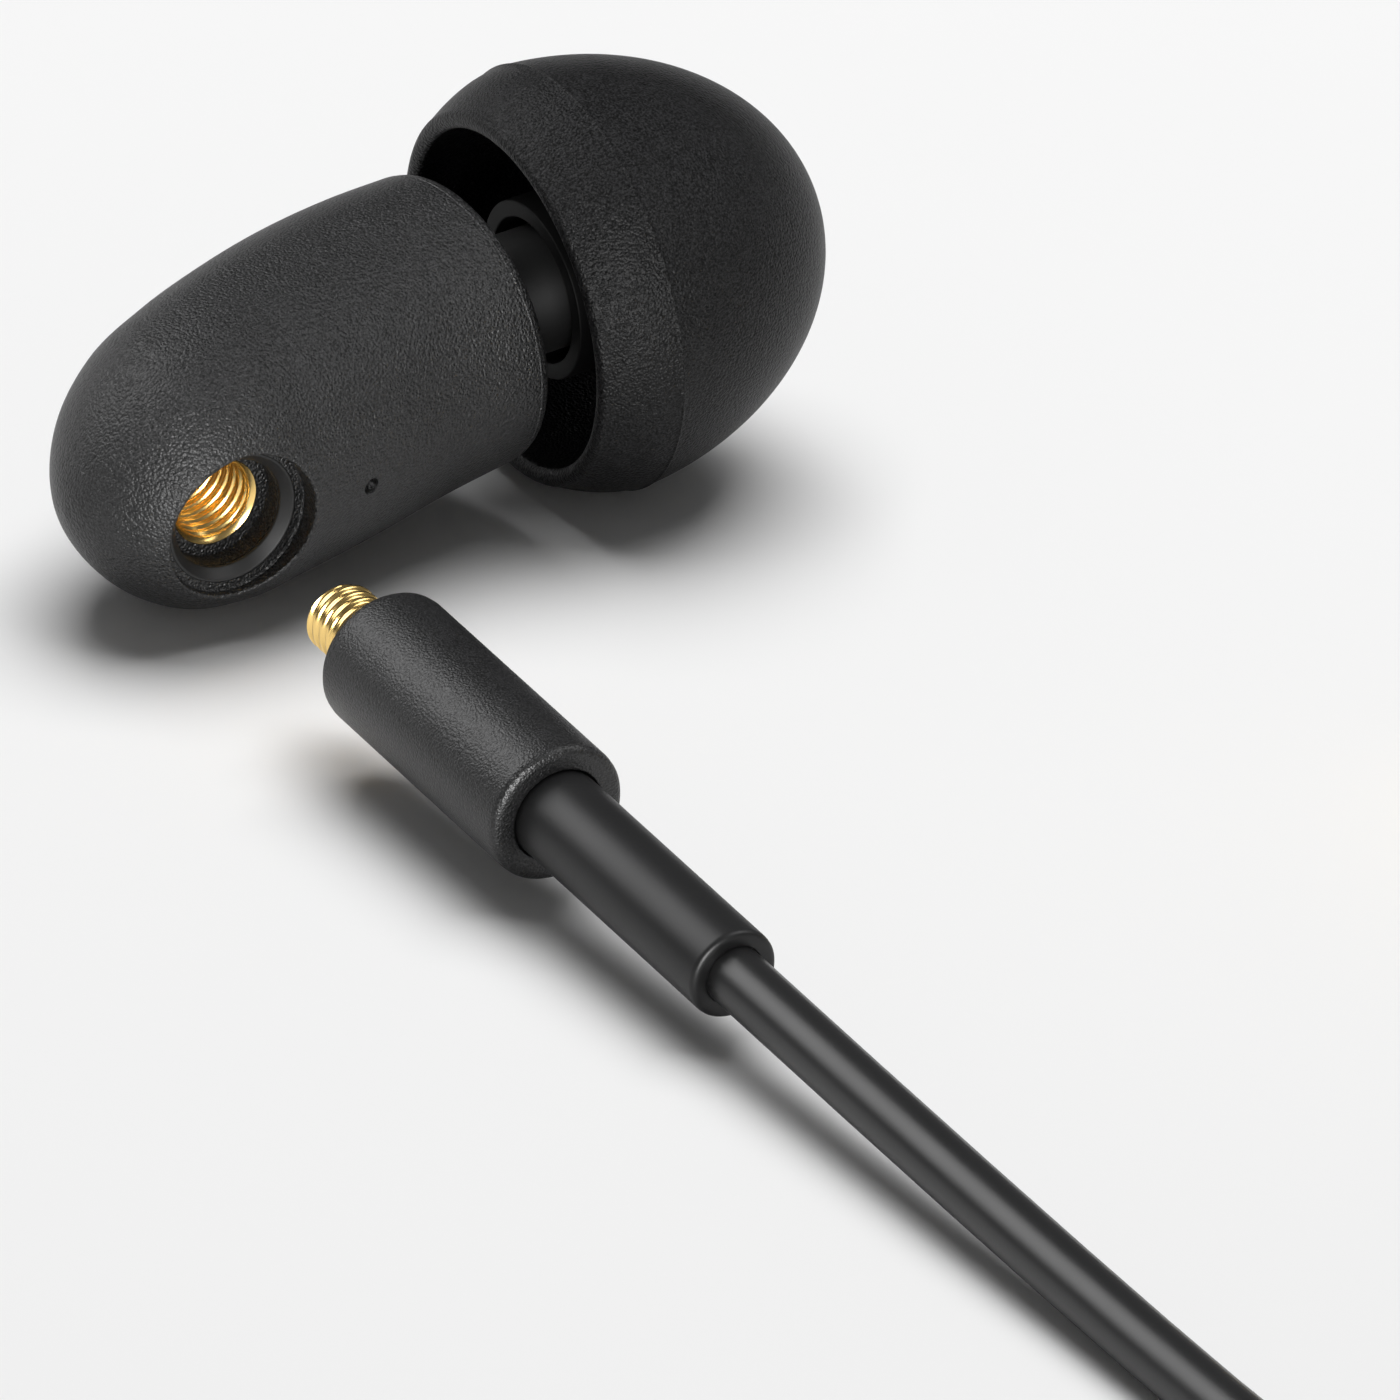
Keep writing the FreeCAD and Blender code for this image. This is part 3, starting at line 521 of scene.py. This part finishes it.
def shell_rings():
    """(section, inset, distance behind it) from the tail's pole to inside the front."""
    rows = through(SECTIONS, SHELL_ROWS)[::-1]
    front = SECTIONS[0]
    rings = [(row, 0.0, 0.0) for row in rows if row[0] < front[0] - FRONT_ROUND - 0.1]
    # a fine raised line where the front edge starts to round
    rings += [(front, 0.0, FRONT_ROUND + EDGE_LINE_WIDTH),
              (front, -EDGE_LINE_HEIGHT, FRONT_ROUND + EDGE_LINE_WIDTH / 2)]
    steps = 8
    for k in range(steps + 1):
        a = math.pi / 2 * k / steps
        rings.append((front, FRONT_ROUND * (1 - math.cos(a)),
                      FRONT_ROUND * (1 - math.sin(a))))
    edge = front[3] - CAP_BORE
    lip = front[3] - LIP_INSET
    return rings + [
        (front, edge - CAP_BEVEL, 0.0), (front, edge - CAP_BEVEL / 3, CAP_BEVEL / 3),
        (front, edge, CAP_BEVEL), (front, edge, CAP_DEPTH), (front, lip, CAP_DEPTH),
        (front, lip, LIP_DEPTH)]


def surface_height(tree, x, z):
    """Where a line along the socket axis meets the shell from outside."""
    hit = tree.ray_cast(Vector((x, -20, z)), Vector((0, 1, 0)))[0]
    if hit is None:
        raise RuntimeError("the hole reaches past the shell's edge")
    return hit.y


def rim_loop(doomed):
    """Verts round the faces that are taken away, in order."""
    inside = set(doomed)
    border = [e for f in doomed for e in f.edges if any(g not in inside
                                                        for g in e.link_faces)]
    beside = {}
    for e in border:
        for v in e.verts:
            beside.setdefault(v, []).append(e.other_vert(v))
    start = next(iter(beside))
    loop, last = [start], None
    while True:
        onward = [v for v in beside[loop[-1]] if v is not last]
        last = loop[-1]
        if onward[0] is start:
            return loop
        loop.append(onward[0])


def sink_hole(bm, tree, centre, clear, profile):
    """Opens a round hole along the socket axis.

    profile holds (radius, drop, depth) rings: drop is how far a ring lies under the
    surface, and depth, where it isn't None, is its distance from the elbow instead.
    """
    cx, cz = centre
    doomed = [f for f in bm.faces
              if all(v.co.y < LEAD_SIDE and math.hypot(v.co.x - cx, v.co.z - cz) < clear
                     for v in f.verts)]
    loop = rim_loop(doomed)
    bmesh.ops.delete(bm, geom=doomed, context="FACES")
    angles = np.unwrap([math.atan2(v.co.z - cz, v.co.x - cx) for v in loop])
    # the loop's verts keep their order and are spaced more evenly round the hole
    count = len(loop)
    sense = math.copysign(2 * math.pi, angles[-1] - angles[0])
    ripple = angles - np.arange(count) * sense / count
    window = 7
    padded = np.concatenate([ripple[-window:], ripple, ripple[:window]])
    calm = np.convolve(padded, np.ones(window) / window, "same")[window:-window]
    angles = calm + np.arange(count) * sense / count
    rings = [loop]
    for radius, drop, depth in [(clear, 0.0, None)] + profile:
        spots = []
        for a in angles:
            x, z = cx + radius * math.cos(a), cz + radius * math.sin(a)
            y = -depth if depth is not None else surface_height(tree, x, z) + drop
            spots.append(Vector((x, y, z)))
        if radius == clear:
            for v, spot in zip(loop, spots):
                v.co = spot
        else:
            rings.append([bm.verts.new(p) for p in spots])
    rings.append([bm.verts.new(Vector((cx, rings[-1][0].co.y, cz)))])
    for a, b in zip(rings, rings[1:]):
        join_rings(bm, a, b)
    loose = [v for v in bm.verts if not v.link_faces]
    bmesh.ops.delete(bm, geom=loose, context="VERTS")


def rolled(radius, roll, steps=9):
    """Profile of a rim that rolls from the surface into a hole's wall."""
    turns = [math.pi / 2 * k / steps for k in range(steps + 1)]
    return [(radius + roll * (1 - math.sin(a)), roll * (1 - math.cos(a)), None)
            for a in turns]


def build_shell(look):
    bm = bmesh.new()
    rings = []
    for row, inset, back in shell_rings():
        count = SHELL_SEGMENTS if row[3] > TINY else 1
        rings.append([bm.verts.new(shell_point(row, 2 * math.pi * j / SHELL_SEGMENTS, inset,
                                               back)) for j in range(count)])
    rings.append([bm.verts.new(INSIDE_END)])
    for a, b in zip(rings, rings[1:]):
        join_rings(bm, a, b)
    bm.normal_update()
    tree = BVHTree.FromBMesh(bm)
    floor = [(RECESS, 0, RECESS_FLOOR + 0.06), (RECESS - 0.05, 0, RECESS_FLOOR),
             (SEAT, 0, RECESS_FLOOR), (SEAT, 0, SEAT_BOTTOM), (SEAT_BORE, 0, SEAT_BOTTOM),
             (SEAT_BORE, 0, BUSH_FACE), (BUSH_RADIUS, 0, BUSH_FACE),
             (BUSH_RADIUS, 0, BUSH_BACK - 0.4)]
    sink_hole(bm, tree, (0.0, 0.0), RECESS_CLEAR,
              rolled(RECESS, look.rim_roll / MM) + floor)
    sink_hole(bm, tree, VENT_AT, VENT_CLEAR,
              rolled(VENT, 0.03, 5) + [(VENT, 0.8, None), (VENT, 1.6, None)])
    bm.transform(Matrix.Scale(MM, 4) @ LAID)
    add_piece("moulded_shell", bm, "earpiece", "shell_black", ["body_shell"])


def build_nozzle():
    outline = ([(TUBE_BORE, TUBE_BACK), (TUBE_RADIUS, TUBE_BACK)] + TUBE_GROOVE + TUBE_BARB
               + [(TUBE_RADIUS, TUBE_END - 0.15), (TUBE_RADIUS - 0.15, TUBE_END),
                  (TUBE_BORE, TUBE_END)])
    turned_piece("sound_tube", outline, NOZZLE, "earpiece", "nozzle_black",
                 ["nozzle_tube"], 0.06)


# ---- threads ----------------------------------------------------------------------------
THREAD_SHARP = 50.0


def thread(low, high, crest, depth):
    """Ripple for a helical thread between low and high, cut by depth from its crest.

    The groove has a flat bottom, sloped flanks and a flat crest, and fades at both ends.
    """
    def ripple(radius, along, angle):
        if abs(radius - crest) > 1e-6:
            return radius
        phase = (along / PITCH - angle / (2 * math.pi)) % 1.0
        groove = min(1.0, max(0.0, 1.6 * (1 - abs(2 * phase - 1)) - 0.3))
        fade = min(1.0, max(0.0, min(along - low, high - along) / (0.5 * PITCH)))
        return radius - depth * groove * groove * (3 - 2 * groove) * fade
    return ripple


def steps_between(low, high, step):
    """Even distances from low to high, about step apart."""
    count = max(1, round((high - low) / step))
    return [low + (high - low) * k / count for k in range(count + 1)]


def build_socket():
    start = BUSH_BACK + 0.3
    bore = [(BUSH_BORE, h) for h in steps_between(start, BUSH_MOUTH, THREAD_STEP)]
    outline = ([(BUSH_RADIUS, BUSH_BACK), (BUSH_RADIUS, BUSH_FACE - 0.02),
                (BUSH_RADIUS - 0.02, BUSH_FACE), (BUSH_BORE + 0.02, BUSH_MOUTH + 0.05)]
               + bore[::-1] + [(BUSH_BORE, BUSH_BACK)])
    bm = revolve(outline, SOCKET,
                 ripple=thread(start, BUSH_MOUTH, BUSH_BORE, -THREAD_DEPTH))
    add_piece("socket_thread", bm, "earpiece", "gold", ["socket_bushing"], THREAD_SHARP)
    turned_piece("socket_seat", [
        (SEAT_BORE, SEAT_BOTTOM), (SEAT, SEAT_BOTTOM), (SEAT, RECESS_FLOOR),
        (SEAT_BEVEL[0], RECESS_FLOOR), (SEAT_BORE, SEAT_BEVEL[1])], SOCKET, "earpiece",
        "nozzle_black", ["socket_seat_ring"], 0.06)


# ---- ear tip ----------------------------------------------------------------------------
def dome_radius(along):
    """Radius of the nose, which is half an egg."""
    length = TIP_FRONT - DOME_CENTRE
    return TIP_RADIUS * math.sqrt(max(0.0, 1 - ((along - DOME_CENTRE) / length) ** 2))


def seam_ridge(radius, along):
    """The fine moulding ridge where the skirt meets the nose."""
    return radius + SEAM_HEIGHT * math.exp(-((along - TIP_SEAM) / SEAM_WIDTH) ** 2)


def build_ear_tip():
    skirt = smooth_outline(SKIRT + [(dome_radius(TIP_SEAM), TIP_SEAM)], 70)
    half = [math.pi * (k + 1) / 12 for k in range(11)]
    rim = [(SKIRT_EDGE[0] - SKIRT_EDGE_WIDTH * math.cos(a),
            SKIRT_EDGE[1] - SKIRT_EDGE_ROUND * math.sin(a)) for a in half]
    skirt = [(seam_ridge(r, h), h) for r, h in skirt]
    length = TIP_FRONT - DOME_CENTRE
    last = math.acos(SOUND_HOLE / TIP_RADIUS)
    first = math.asin((TIP_SEAM - DOME_CENTRE) / length)
    steps = [first + (last - first) * (k / 90) ** 1.15 for k in range(1, 91)]
    nose = [(seam_ridge(TIP_RADIUS * math.cos(u), DOME_CENTRE + length * math.sin(u)),
             DOME_CENTRE + length * math.sin(u)) for u in steps]
    nose += [(SOUND_HOLE - 0.1, nose[-1][1] - 0.02), (SOUND_HOLE - 0.15, nose[-1][1] - 0.2)]
    inside = [(SOUND_HOLE, STEM_FRONT + 0.4), (SOUND_HOLE, STEM_FRONT),
              (STEM_RADIUS, STEM_FRONT)]
    outline = rim + skirt + nose + inside + smooth_outline(UNDERSIDE, 40)
    bm = revolve(outline, NOZZLE, 224)
    add_piece("tip_umbrella", bm, "ear_tip", "tip_silicone", ["tip_dome"])
    turned_piece("tip_stem", [
        (STEM_BORE, STEM_BACK), (STEM_RADIUS, STEM_BACK), (STEM_RADIUS, STEM_FRONT),
        (STEM_BORE, STEM_FRONT)], NOZZLE, "ear_tip", "core_silicone", ["tip_core"], 0.06)


# ---- plug of the lead -------------------------------------------------------------------
def build_plug():
    root = PLUG_RADIUS - THREAD_DEPTH
    face = [(PLUG_RADIUS, h) for h in steps_between(PLUG_TIP + 0.12, HOUSING_FRONT - 0.1,
                                                    THREAD_STEP)]
    outline = ([(PLUG_BORE, PLUG_TIP + 0.05), (PLUG_BORE + 0.05, PLUG_TIP),
                (root - 0.04, PLUG_TIP), (root, PLUG_TIP + 0.05)] + face
               + [(root, HOUSING_FRONT), (root, PLUG_HEAD_FRONT),
                  (PLUG_HEAD, PLUG_HEAD_FRONT), (PLUG_HEAD, PLUG_BACK),
                  (PLUG_BORE, PLUG_BACK)])
    bm = revolve(outline, SOCKET,
                 ripple=thread(PLUG_TIP - 0.1, HOUSING_FRONT, PLUG_RADIUS, THREAD_DEPTH))
    add_piece("coupling_thread", bm, "coupling", "gold", ["plug_thread"], THREAD_SHARP)
    turned_piece("coupling_sleeve", [
        (root, HOUSING_FRONT), (HOUSING_RADIUS, HOUSING_FRONT, 0.4),
        (HOUSING_RADIUS, HOUSING_BACK, 0.58), (PLUG_HEAD, HOUSING_BACK),
        (PLUG_HEAD, PLUG_HEAD_FRONT), (root, PLUG_HEAD_FRONT)], SOCKET, "coupling",
        "housing_black", ["plug_housing"], segments=192)
    turned_piece("plug_strain_relief", [
        (CABLE_RADIUS, RELIEF_START), (RELIEF_RADIUS, RELIEF_START),
        (RELIEF_RADIUS, RELIEF_END, 0.3), (CABLE_RADIUS, RELIEF_END)],
        SOCKET, "lead", "relief_rubber", ["strain_relief"])


# ---- cable, coil and its strap ----------------------------------------------------------
def coil_points():
    """Turns of the put-away coil, spiralling in and out, layer on layer."""
    shrink = math.cos(math.pi / POINTS_PER_TURN)
    total = round(COIL_LAYERS * COIL_TURNS * POINTS_PER_TURN)
    climb = COIL_CLIMB / COIL_TURNS
    points = []
    for i in range(total + 1):
        turns = i / POINTS_PER_TURN
        layer, part = divmod(turns / COIL_TURNS, 1)
        if layer >= COIL_LAYERS:
            layer, part = COIL_LAYERS - 1, 1.0
        inward = part if layer % 2 == 0 else 1 - part
        radius = (COIL_OUTER - (COIL_OUTER - COIL_INNER) * inward) / shrink
        rise = layer
        if part > 1 - climb / 2 and layer < COIL_LAYERS - 1:
            rise += (part - 1 + climb / 2) / climb
        elif part < climb / 2 and layer > 0:
            rise += (part + climb / 2) / climb - 1
        angle = math.pi + 2 * math.pi * turns
        points.append((COIL_CENTRE[0] + radius * math.cos(angle),
                       COIL_CENTRE[1] + radius * math.sin(angle),
                       CABLE_RADIUS + 2 * CABLE_RADIUS * rise))
    return points


def build_cable(look):
    leaves = SOCKET @ Vector((0, 0, RELIEF_END))
    points = [tuple(leaves)] + LEAD_ROUTE + coil_points() + TAIL_ROUTE
    curve = bpy.data.curves.new("lead_cord", "CURVE")
    curve.dimensions = "3D"
    curve.resolution_u = 6
    curve.bevel_depth = look.diameter / 2
    curve.bevel_resolution = 6
    curve.use_fill_caps = True
    spline = curve.splines.new("NURBS")
    spline.points.add(len(points) - 1)
    for spot, point in zip(spline.points, points):
        spot.co = (point[0] * MM, point[1] * MM, point[2] * MM, 1.0)
    spline.order_u = 3
    spline.use_endpoint_u = True
    cord = bpy.data.objects.new("lead_cord", curve)
    bpy.context.scene.collection.objects.link(cord)
    settle(cord, "lead", "cable_jacket", ["lead_cable", "lead_coil", "jack_cable"])


def build_strap():
    """Webbing round the coil's section."""
    path = []
    corners = [(STRAP_NEAR, 0.0, 1, 1), (STRAP_FAR, 0.0, -1, 1),
               (STRAP_FAR, STRAP_TOP, -1, -1), (STRAP_NEAR, STRAP_TOP, 1, -1)]
    for i, (y, z, along, up) in enumerate(corners):
        centre = (y + along * STRAP_CORNER, z + up * STRAP_CORNER)
        start = math.pi + i * math.pi / 2
        path += [(centre[0] + STRAP_CORNER * math.cos(start + math.pi / 2 * k / 10),
                  centre[1] + STRAP_CORNER * math.sin(start + math.pi / 2 * k / 10))
                 for k in range(11)]
    path = spread_out(path, 0.25)
    bm = bmesh.new()
    rings = []
    across = [-1, -0.97, -0.9] + [k / 10 for k in range(-8, 9)] + [0.9, 0.97, 1]
    count = len(path)
    for i, (y, z) in enumerate(path):
        before, after = path[i - 1], path[(i + 1) % count]
        way = Vector((after[0] - before[0], after[1] - before[1])).normalized()
        inward = Vector((-way.y, way.x))
        ring = []
        for side, order in ((0, across), (1, across[::-1])):
            for c in order:
                puff = STRAP_PUFF * (1 - c ** 6)
                depth = (STRAP_PUFF - puff if side == 0
                         else STRAP_THICK - STRAP_PUFF + puff)
                spot = Vector((y, z)) + inward * depth
                ring.append(bm.verts.new(Vector((
                    COIL_CENTRE[0] + c * STRAP_WIDE / 2,
                    COIL_CENTRE[1] - spot.x, spot.y)) * MM))
        rings.append(ring)
    for a, b in zip(rings, rings[1:] + rings[:1]):
        join_rings(bm, a, b)
    add_piece("coil_strap", bm, "lead", "strap", ["coil_tie"])


def spread_out(path, step):
    """Points evenly spaced along a closed path."""
    points = np.array(path + path[:1])
    lengths = np.concatenate([[0], np.cumsum(np.hypot(*np.diff(points, axis=0).T))])
    count = int(lengths[-1] / step)
    at = np.arange(count) * lengths[-1] / count
    return list(zip(np.interp(at, lengths, points[:, 0]),
                    np.interp(at, lengths, points[:, 1])))


# ---- jack -------------------------------------------------------------------------------
def knurl(radius, along, angle):
    """Fine lengthwise flutes on the grip's middle."""
    if radius < GRIP_RADIUS - 0.1 or not FLUTES_FROM < along < FLUTES_TO:
        return radius
    fade = min(1.0, (along - FLUTES_FROM) / FLUTE_FADE, (FLUTES_TO - along) / FLUTE_FADE)
    return radius - FLUTE_DEPTH * fade * (0.5 + 0.5 * math.cos(angle * FLUTES))


def build_jack():
    boot = [(0, 0), (BOOT_START, 0)]
    for k in range(BOOT_RIBS):
        start = BOOT_RIB * (k + 1)
        size = BOOT_START + (BOOT_END - BOOT_START) * start / GRIP_BACK
        boot += [(size, start), (size - 0.25, start + 0.05), (size - 0.22, start + 0.45),
                 (size + 0.03, start + 0.5)]
    boot += [(BOOT_END, GRIP_BACK), (0, GRIP_BACK)]
    turned_piece("jack_boot", boot, JACK, "lead", "relief_rubber", ["jack_strain_relief"],
                 0.08, 96)
    grip = ([(0, GRIP_BACK)] + GRIP_REAR
            + [(GRIP_RADIUS, h) for h in steps_between(10.4, 17.6, 0.3)]
            + [(GRIP_RADIUS, 19.4), (2.6, GRIP_FRONT), (0, GRIP_FRONT)])
    turned_piece("jack_grip", grip, JACK, "lead", "housing_black", ["jack_barrel"], 0.15,
                 288, knurl)
    for name, node, slot, low, high in JACK_RODS:
        turned_piece(name, [(0, low), (JACK_RADIUS, low), (JACK_RADIUS, high), (0, high)],
                     JACK, "lead", slot, [node], 0.03, 96)
    turned_piece("jack_contact_tip", JACK_TIP, JACK, "lead", "gold", ["jack_tip"], 0.25, 96)


# ---- stage ------------------------------------------------------------------------------
def facing(spot, target, roll=0.0):
    """Matrix of a lamp or camera at spot that looks at target."""
    back = (spot - target).normalized()
    right = Vector((0, 0, 1)).cross(back).normalized()
    up = back.cross(right)
    turned_right = right * math.cos(roll) + up * math.sin(roll)
    turned_up = up * math.cos(roll) - right * math.sin(roll)
    basis = Matrix((turned_right, turned_up, back)).transposed().to_4x4()
    return Matrix.Translation(spot) @ basis


def add_lamp(name, spot, target, wide, tall, power):
    lamp = bpy.data.lights.new(name, "AREA")
    lamp.shape, lamp.size, lamp.size_y, lamp.energy = "RECTANGLE", wide, tall, power
    holder = bpy.data.objects.new(name, lamp)
    holder.matrix_world = facing(Vector(spot), Vector(target))
    bpy.context.scene.collection.objects.link(holder)
    return holder


def build_camera(look):
    a, e = look.azimuth, look.elevation
    back = Vector((math.sin(a) * math.cos(e), -math.cos(a) * math.cos(e), math.sin(e)))
    basis = facing(back, Vector((0, 0, 0)), look.roll).to_3x3()
    target = ELBOW * MM + (basis.col[0] * AIM_RIGHT - basis.col[1] * AIM_DOWN) * MM
    camera = bpy.data.cameras.new("camera")
    camera.sensor_width, camera.lens, camera.clip_start = 36, look.lens, 0.01
    holder = bpy.data.objects.new("camera", camera)
    holder.matrix_world = (Matrix.Translation(target + back * look.distance)
                           @ basis.to_4x4())
    bpy.context.scene.collection.objects.link(holder)
    bpy.context.scene.camera = holder


def build_floor(look):
    bm = bmesh.new()
    bmesh.ops.create_grid(bm, x_segments=24, y_segments=24, size=FLOOR_HALF)
    mesh = bpy.data.meshes.new("floor")
    bm.to_mesh(mesh)
    bm.free()
    floor = bpy.data.objects.new("floor", mesh)
    floor.location.z = -FLOOR_DROP
    bpy.context.scene.collection.objects.link(floor)
    f = Finish("floor_paper", Specular_IOR_Level=0.1)
    colour = tuple(look.floor_colour)
    tint = f.mix(f.noise(40, 2), shade(colour, 0.99), shade(colour, 1.01))
    mesh.materials.append(f.surface(tint, 0.85 + f.noise(5, 2) * 0.1))


def build_lights(look):
    world = bpy.data.worlds.new("studio")
    world.use_nodes = True
    shader = world.node_tree.nodes["Background"]
    shader.inputs["Color"].default_value = (1, 1, 1, 1)
    shader.inputs["Strength"].default_value = look.fill
    bpy.context.scene.world = world
    key = add_lamp("overhead_softbox", KEY_SPOT, (0, -0.02, 0), KEY_SIZE, KEY_SIZE,
                   look.key_power)
    key.visible_glossy = False
    for name, (spot, wide, tall, share) in CARDS.items():
        card = add_lamp(name, spot, (0, -0.01, 0.004), wide, tall, look.key_power * share)
        card.visible_diffuse = False


# ---- one operator for each group of pieces ----------------------------------------------
class PieceOperator:
    bl_options = {"REGISTER"}

    def execute(self, context):
        self.build(context.scene)
        return {"FINISHED"}


class IEM_OT_stage(PieceOperator, bpy.types.Operator):
    """Camera, soft lights and pale floor"""
    bl_idname, bl_label = "iem.stage", "Stage"

    def build(self, scene):
        scene.view_settings.view_transform = "Standard"
        build_camera(scene.iem_stage)
        build_floor(scene.iem_stage)
        build_lights(scene.iem_stage)


class IEM_OT_finishes(PieceOperator, bpy.types.Operator):
    """Materials for every slot, and for the CAD nodes that stay"""
    bl_idname, bl_label = "iem.finishes", "Finishes"

    def build(self, scene):
        FINISHES.update(make_finishes(scene.iem_earpiece, scene.iem_lead))
        for part in frame["record"]["subparts"]:
            node = frame["nodes"][part["node"]]
            for holder in node.material_slots:
                holder.material = FINISHES[part["material_slot"]]


class IEM_OT_shell(PieceOperator, bpy.types.Operator):
    """Moulded shell with its socket recess and vent"""
    bl_idname, bl_label = "iem.shell", "Shell"

    def build(self, scene):
        build_shell(scene.iem_earpiece)


class IEM_OT_nozzle(PieceOperator, bpy.types.Operator):
    """Sound tube that the ear tip snaps on"""
    bl_idname, bl_label = "iem.nozzle", "Sound tube"

    def build(self, scene):
        build_nozzle()


class IEM_OT_socket(PieceOperator, bpy.types.Operator):
    """Threaded bushing and its seat ring"""
    bl_idname, bl_label = "iem.socket", "Socket"

    def build(self, scene):
        build_socket()


class IEM_OT_ear_tip(PieceOperator, bpy.types.Operator):
    """Silicone ear tip and its stem"""
    bl_idname, bl_label = "iem.ear_tip", "Ear tip"

    def build(self, scene):
        build_ear_tip()


class IEM_OT_plug(PieceOperator, bpy.types.Operator):
    """Coupling thread, sleeve and strain relief of the lead"""
    bl_idname, bl_label = "iem.plug", "Plug"

    def build(self, scene):
        build_plug()


class IEM_OT_jack(PieceOperator, bpy.types.Operator):
    """Jack plug at the lead's far end"""
    bl_idname, bl_label = "iem.jack", "Jack"

    def build(self, scene):
        build_jack()


class IEM_OT_strap(PieceOperator, bpy.types.Operator):
    """Woven strap that ties the put-away coil"""
    bl_idname, bl_label = "iem.strap", "Coil strap"

    def build(self, scene):
        build_strap()


class IEM_OT_cable(PieceOperator, bpy.types.Operator):
    """Cable from the strain relief through the coil to the jack"""
    bl_idname, bl_label = "iem.cable", "Cable"

    def build(self, scene):
        build_cable(scene.iem_lead)


class IEM_PT_panel(bpy.types.Panel):
    """Lists the pieces and the sizes and colours that can be changed"""
    bl_idname, bl_label = "IEM_PT_panel", "In Ear Monitor"
    bl_space_type, bl_region_type, bl_category = "VIEW_3D", "UI", "In Ear Monitor"

    def draw(self, context):
        for group in GROUPS:
            box = self.layout.box()
            holder = getattr(context.scene, group)
            for name in holder.__annotations__:
                box.prop(holder, name)
        for operator in OPERATORS:
            self.layout.operator(operator.bl_idname)


GROUPS = {"iem_earpiece": EarpieceLook, "iem_lead": LeadLook, "iem_stage": StageLook}
OPERATORS = (IEM_OT_stage, IEM_OT_finishes, IEM_OT_shell, IEM_OT_nozzle, IEM_OT_socket,
             IEM_OT_ear_tip, IEM_OT_plug, IEM_OT_jack, IEM_OT_strap, IEM_OT_cable)
CLASSES = tuple(GROUPS.values()) + OPERATORS + (IEM_PT_panel,)


def register():
    for cls in CLASSES:
        bpy.utils.register_class(cls)
    for name, group in GROUPS.items():
        setattr(bpy.types.Scene, name, bpy.props.PointerProperty(type=group))


def unregister():
    for name in GROUPS:
        delattr(bpy.types.Scene, name)
    for cls in reversed(CLASSES):
        bpy.utils.unregister_class(cls)


def main():
    register()
    for operator in OPERATORS:
        group, name = operator.bl_idname.split(".")
        getattr(getattr(bpy.ops, group), name)()


if __name__ == "__main__":
    main()
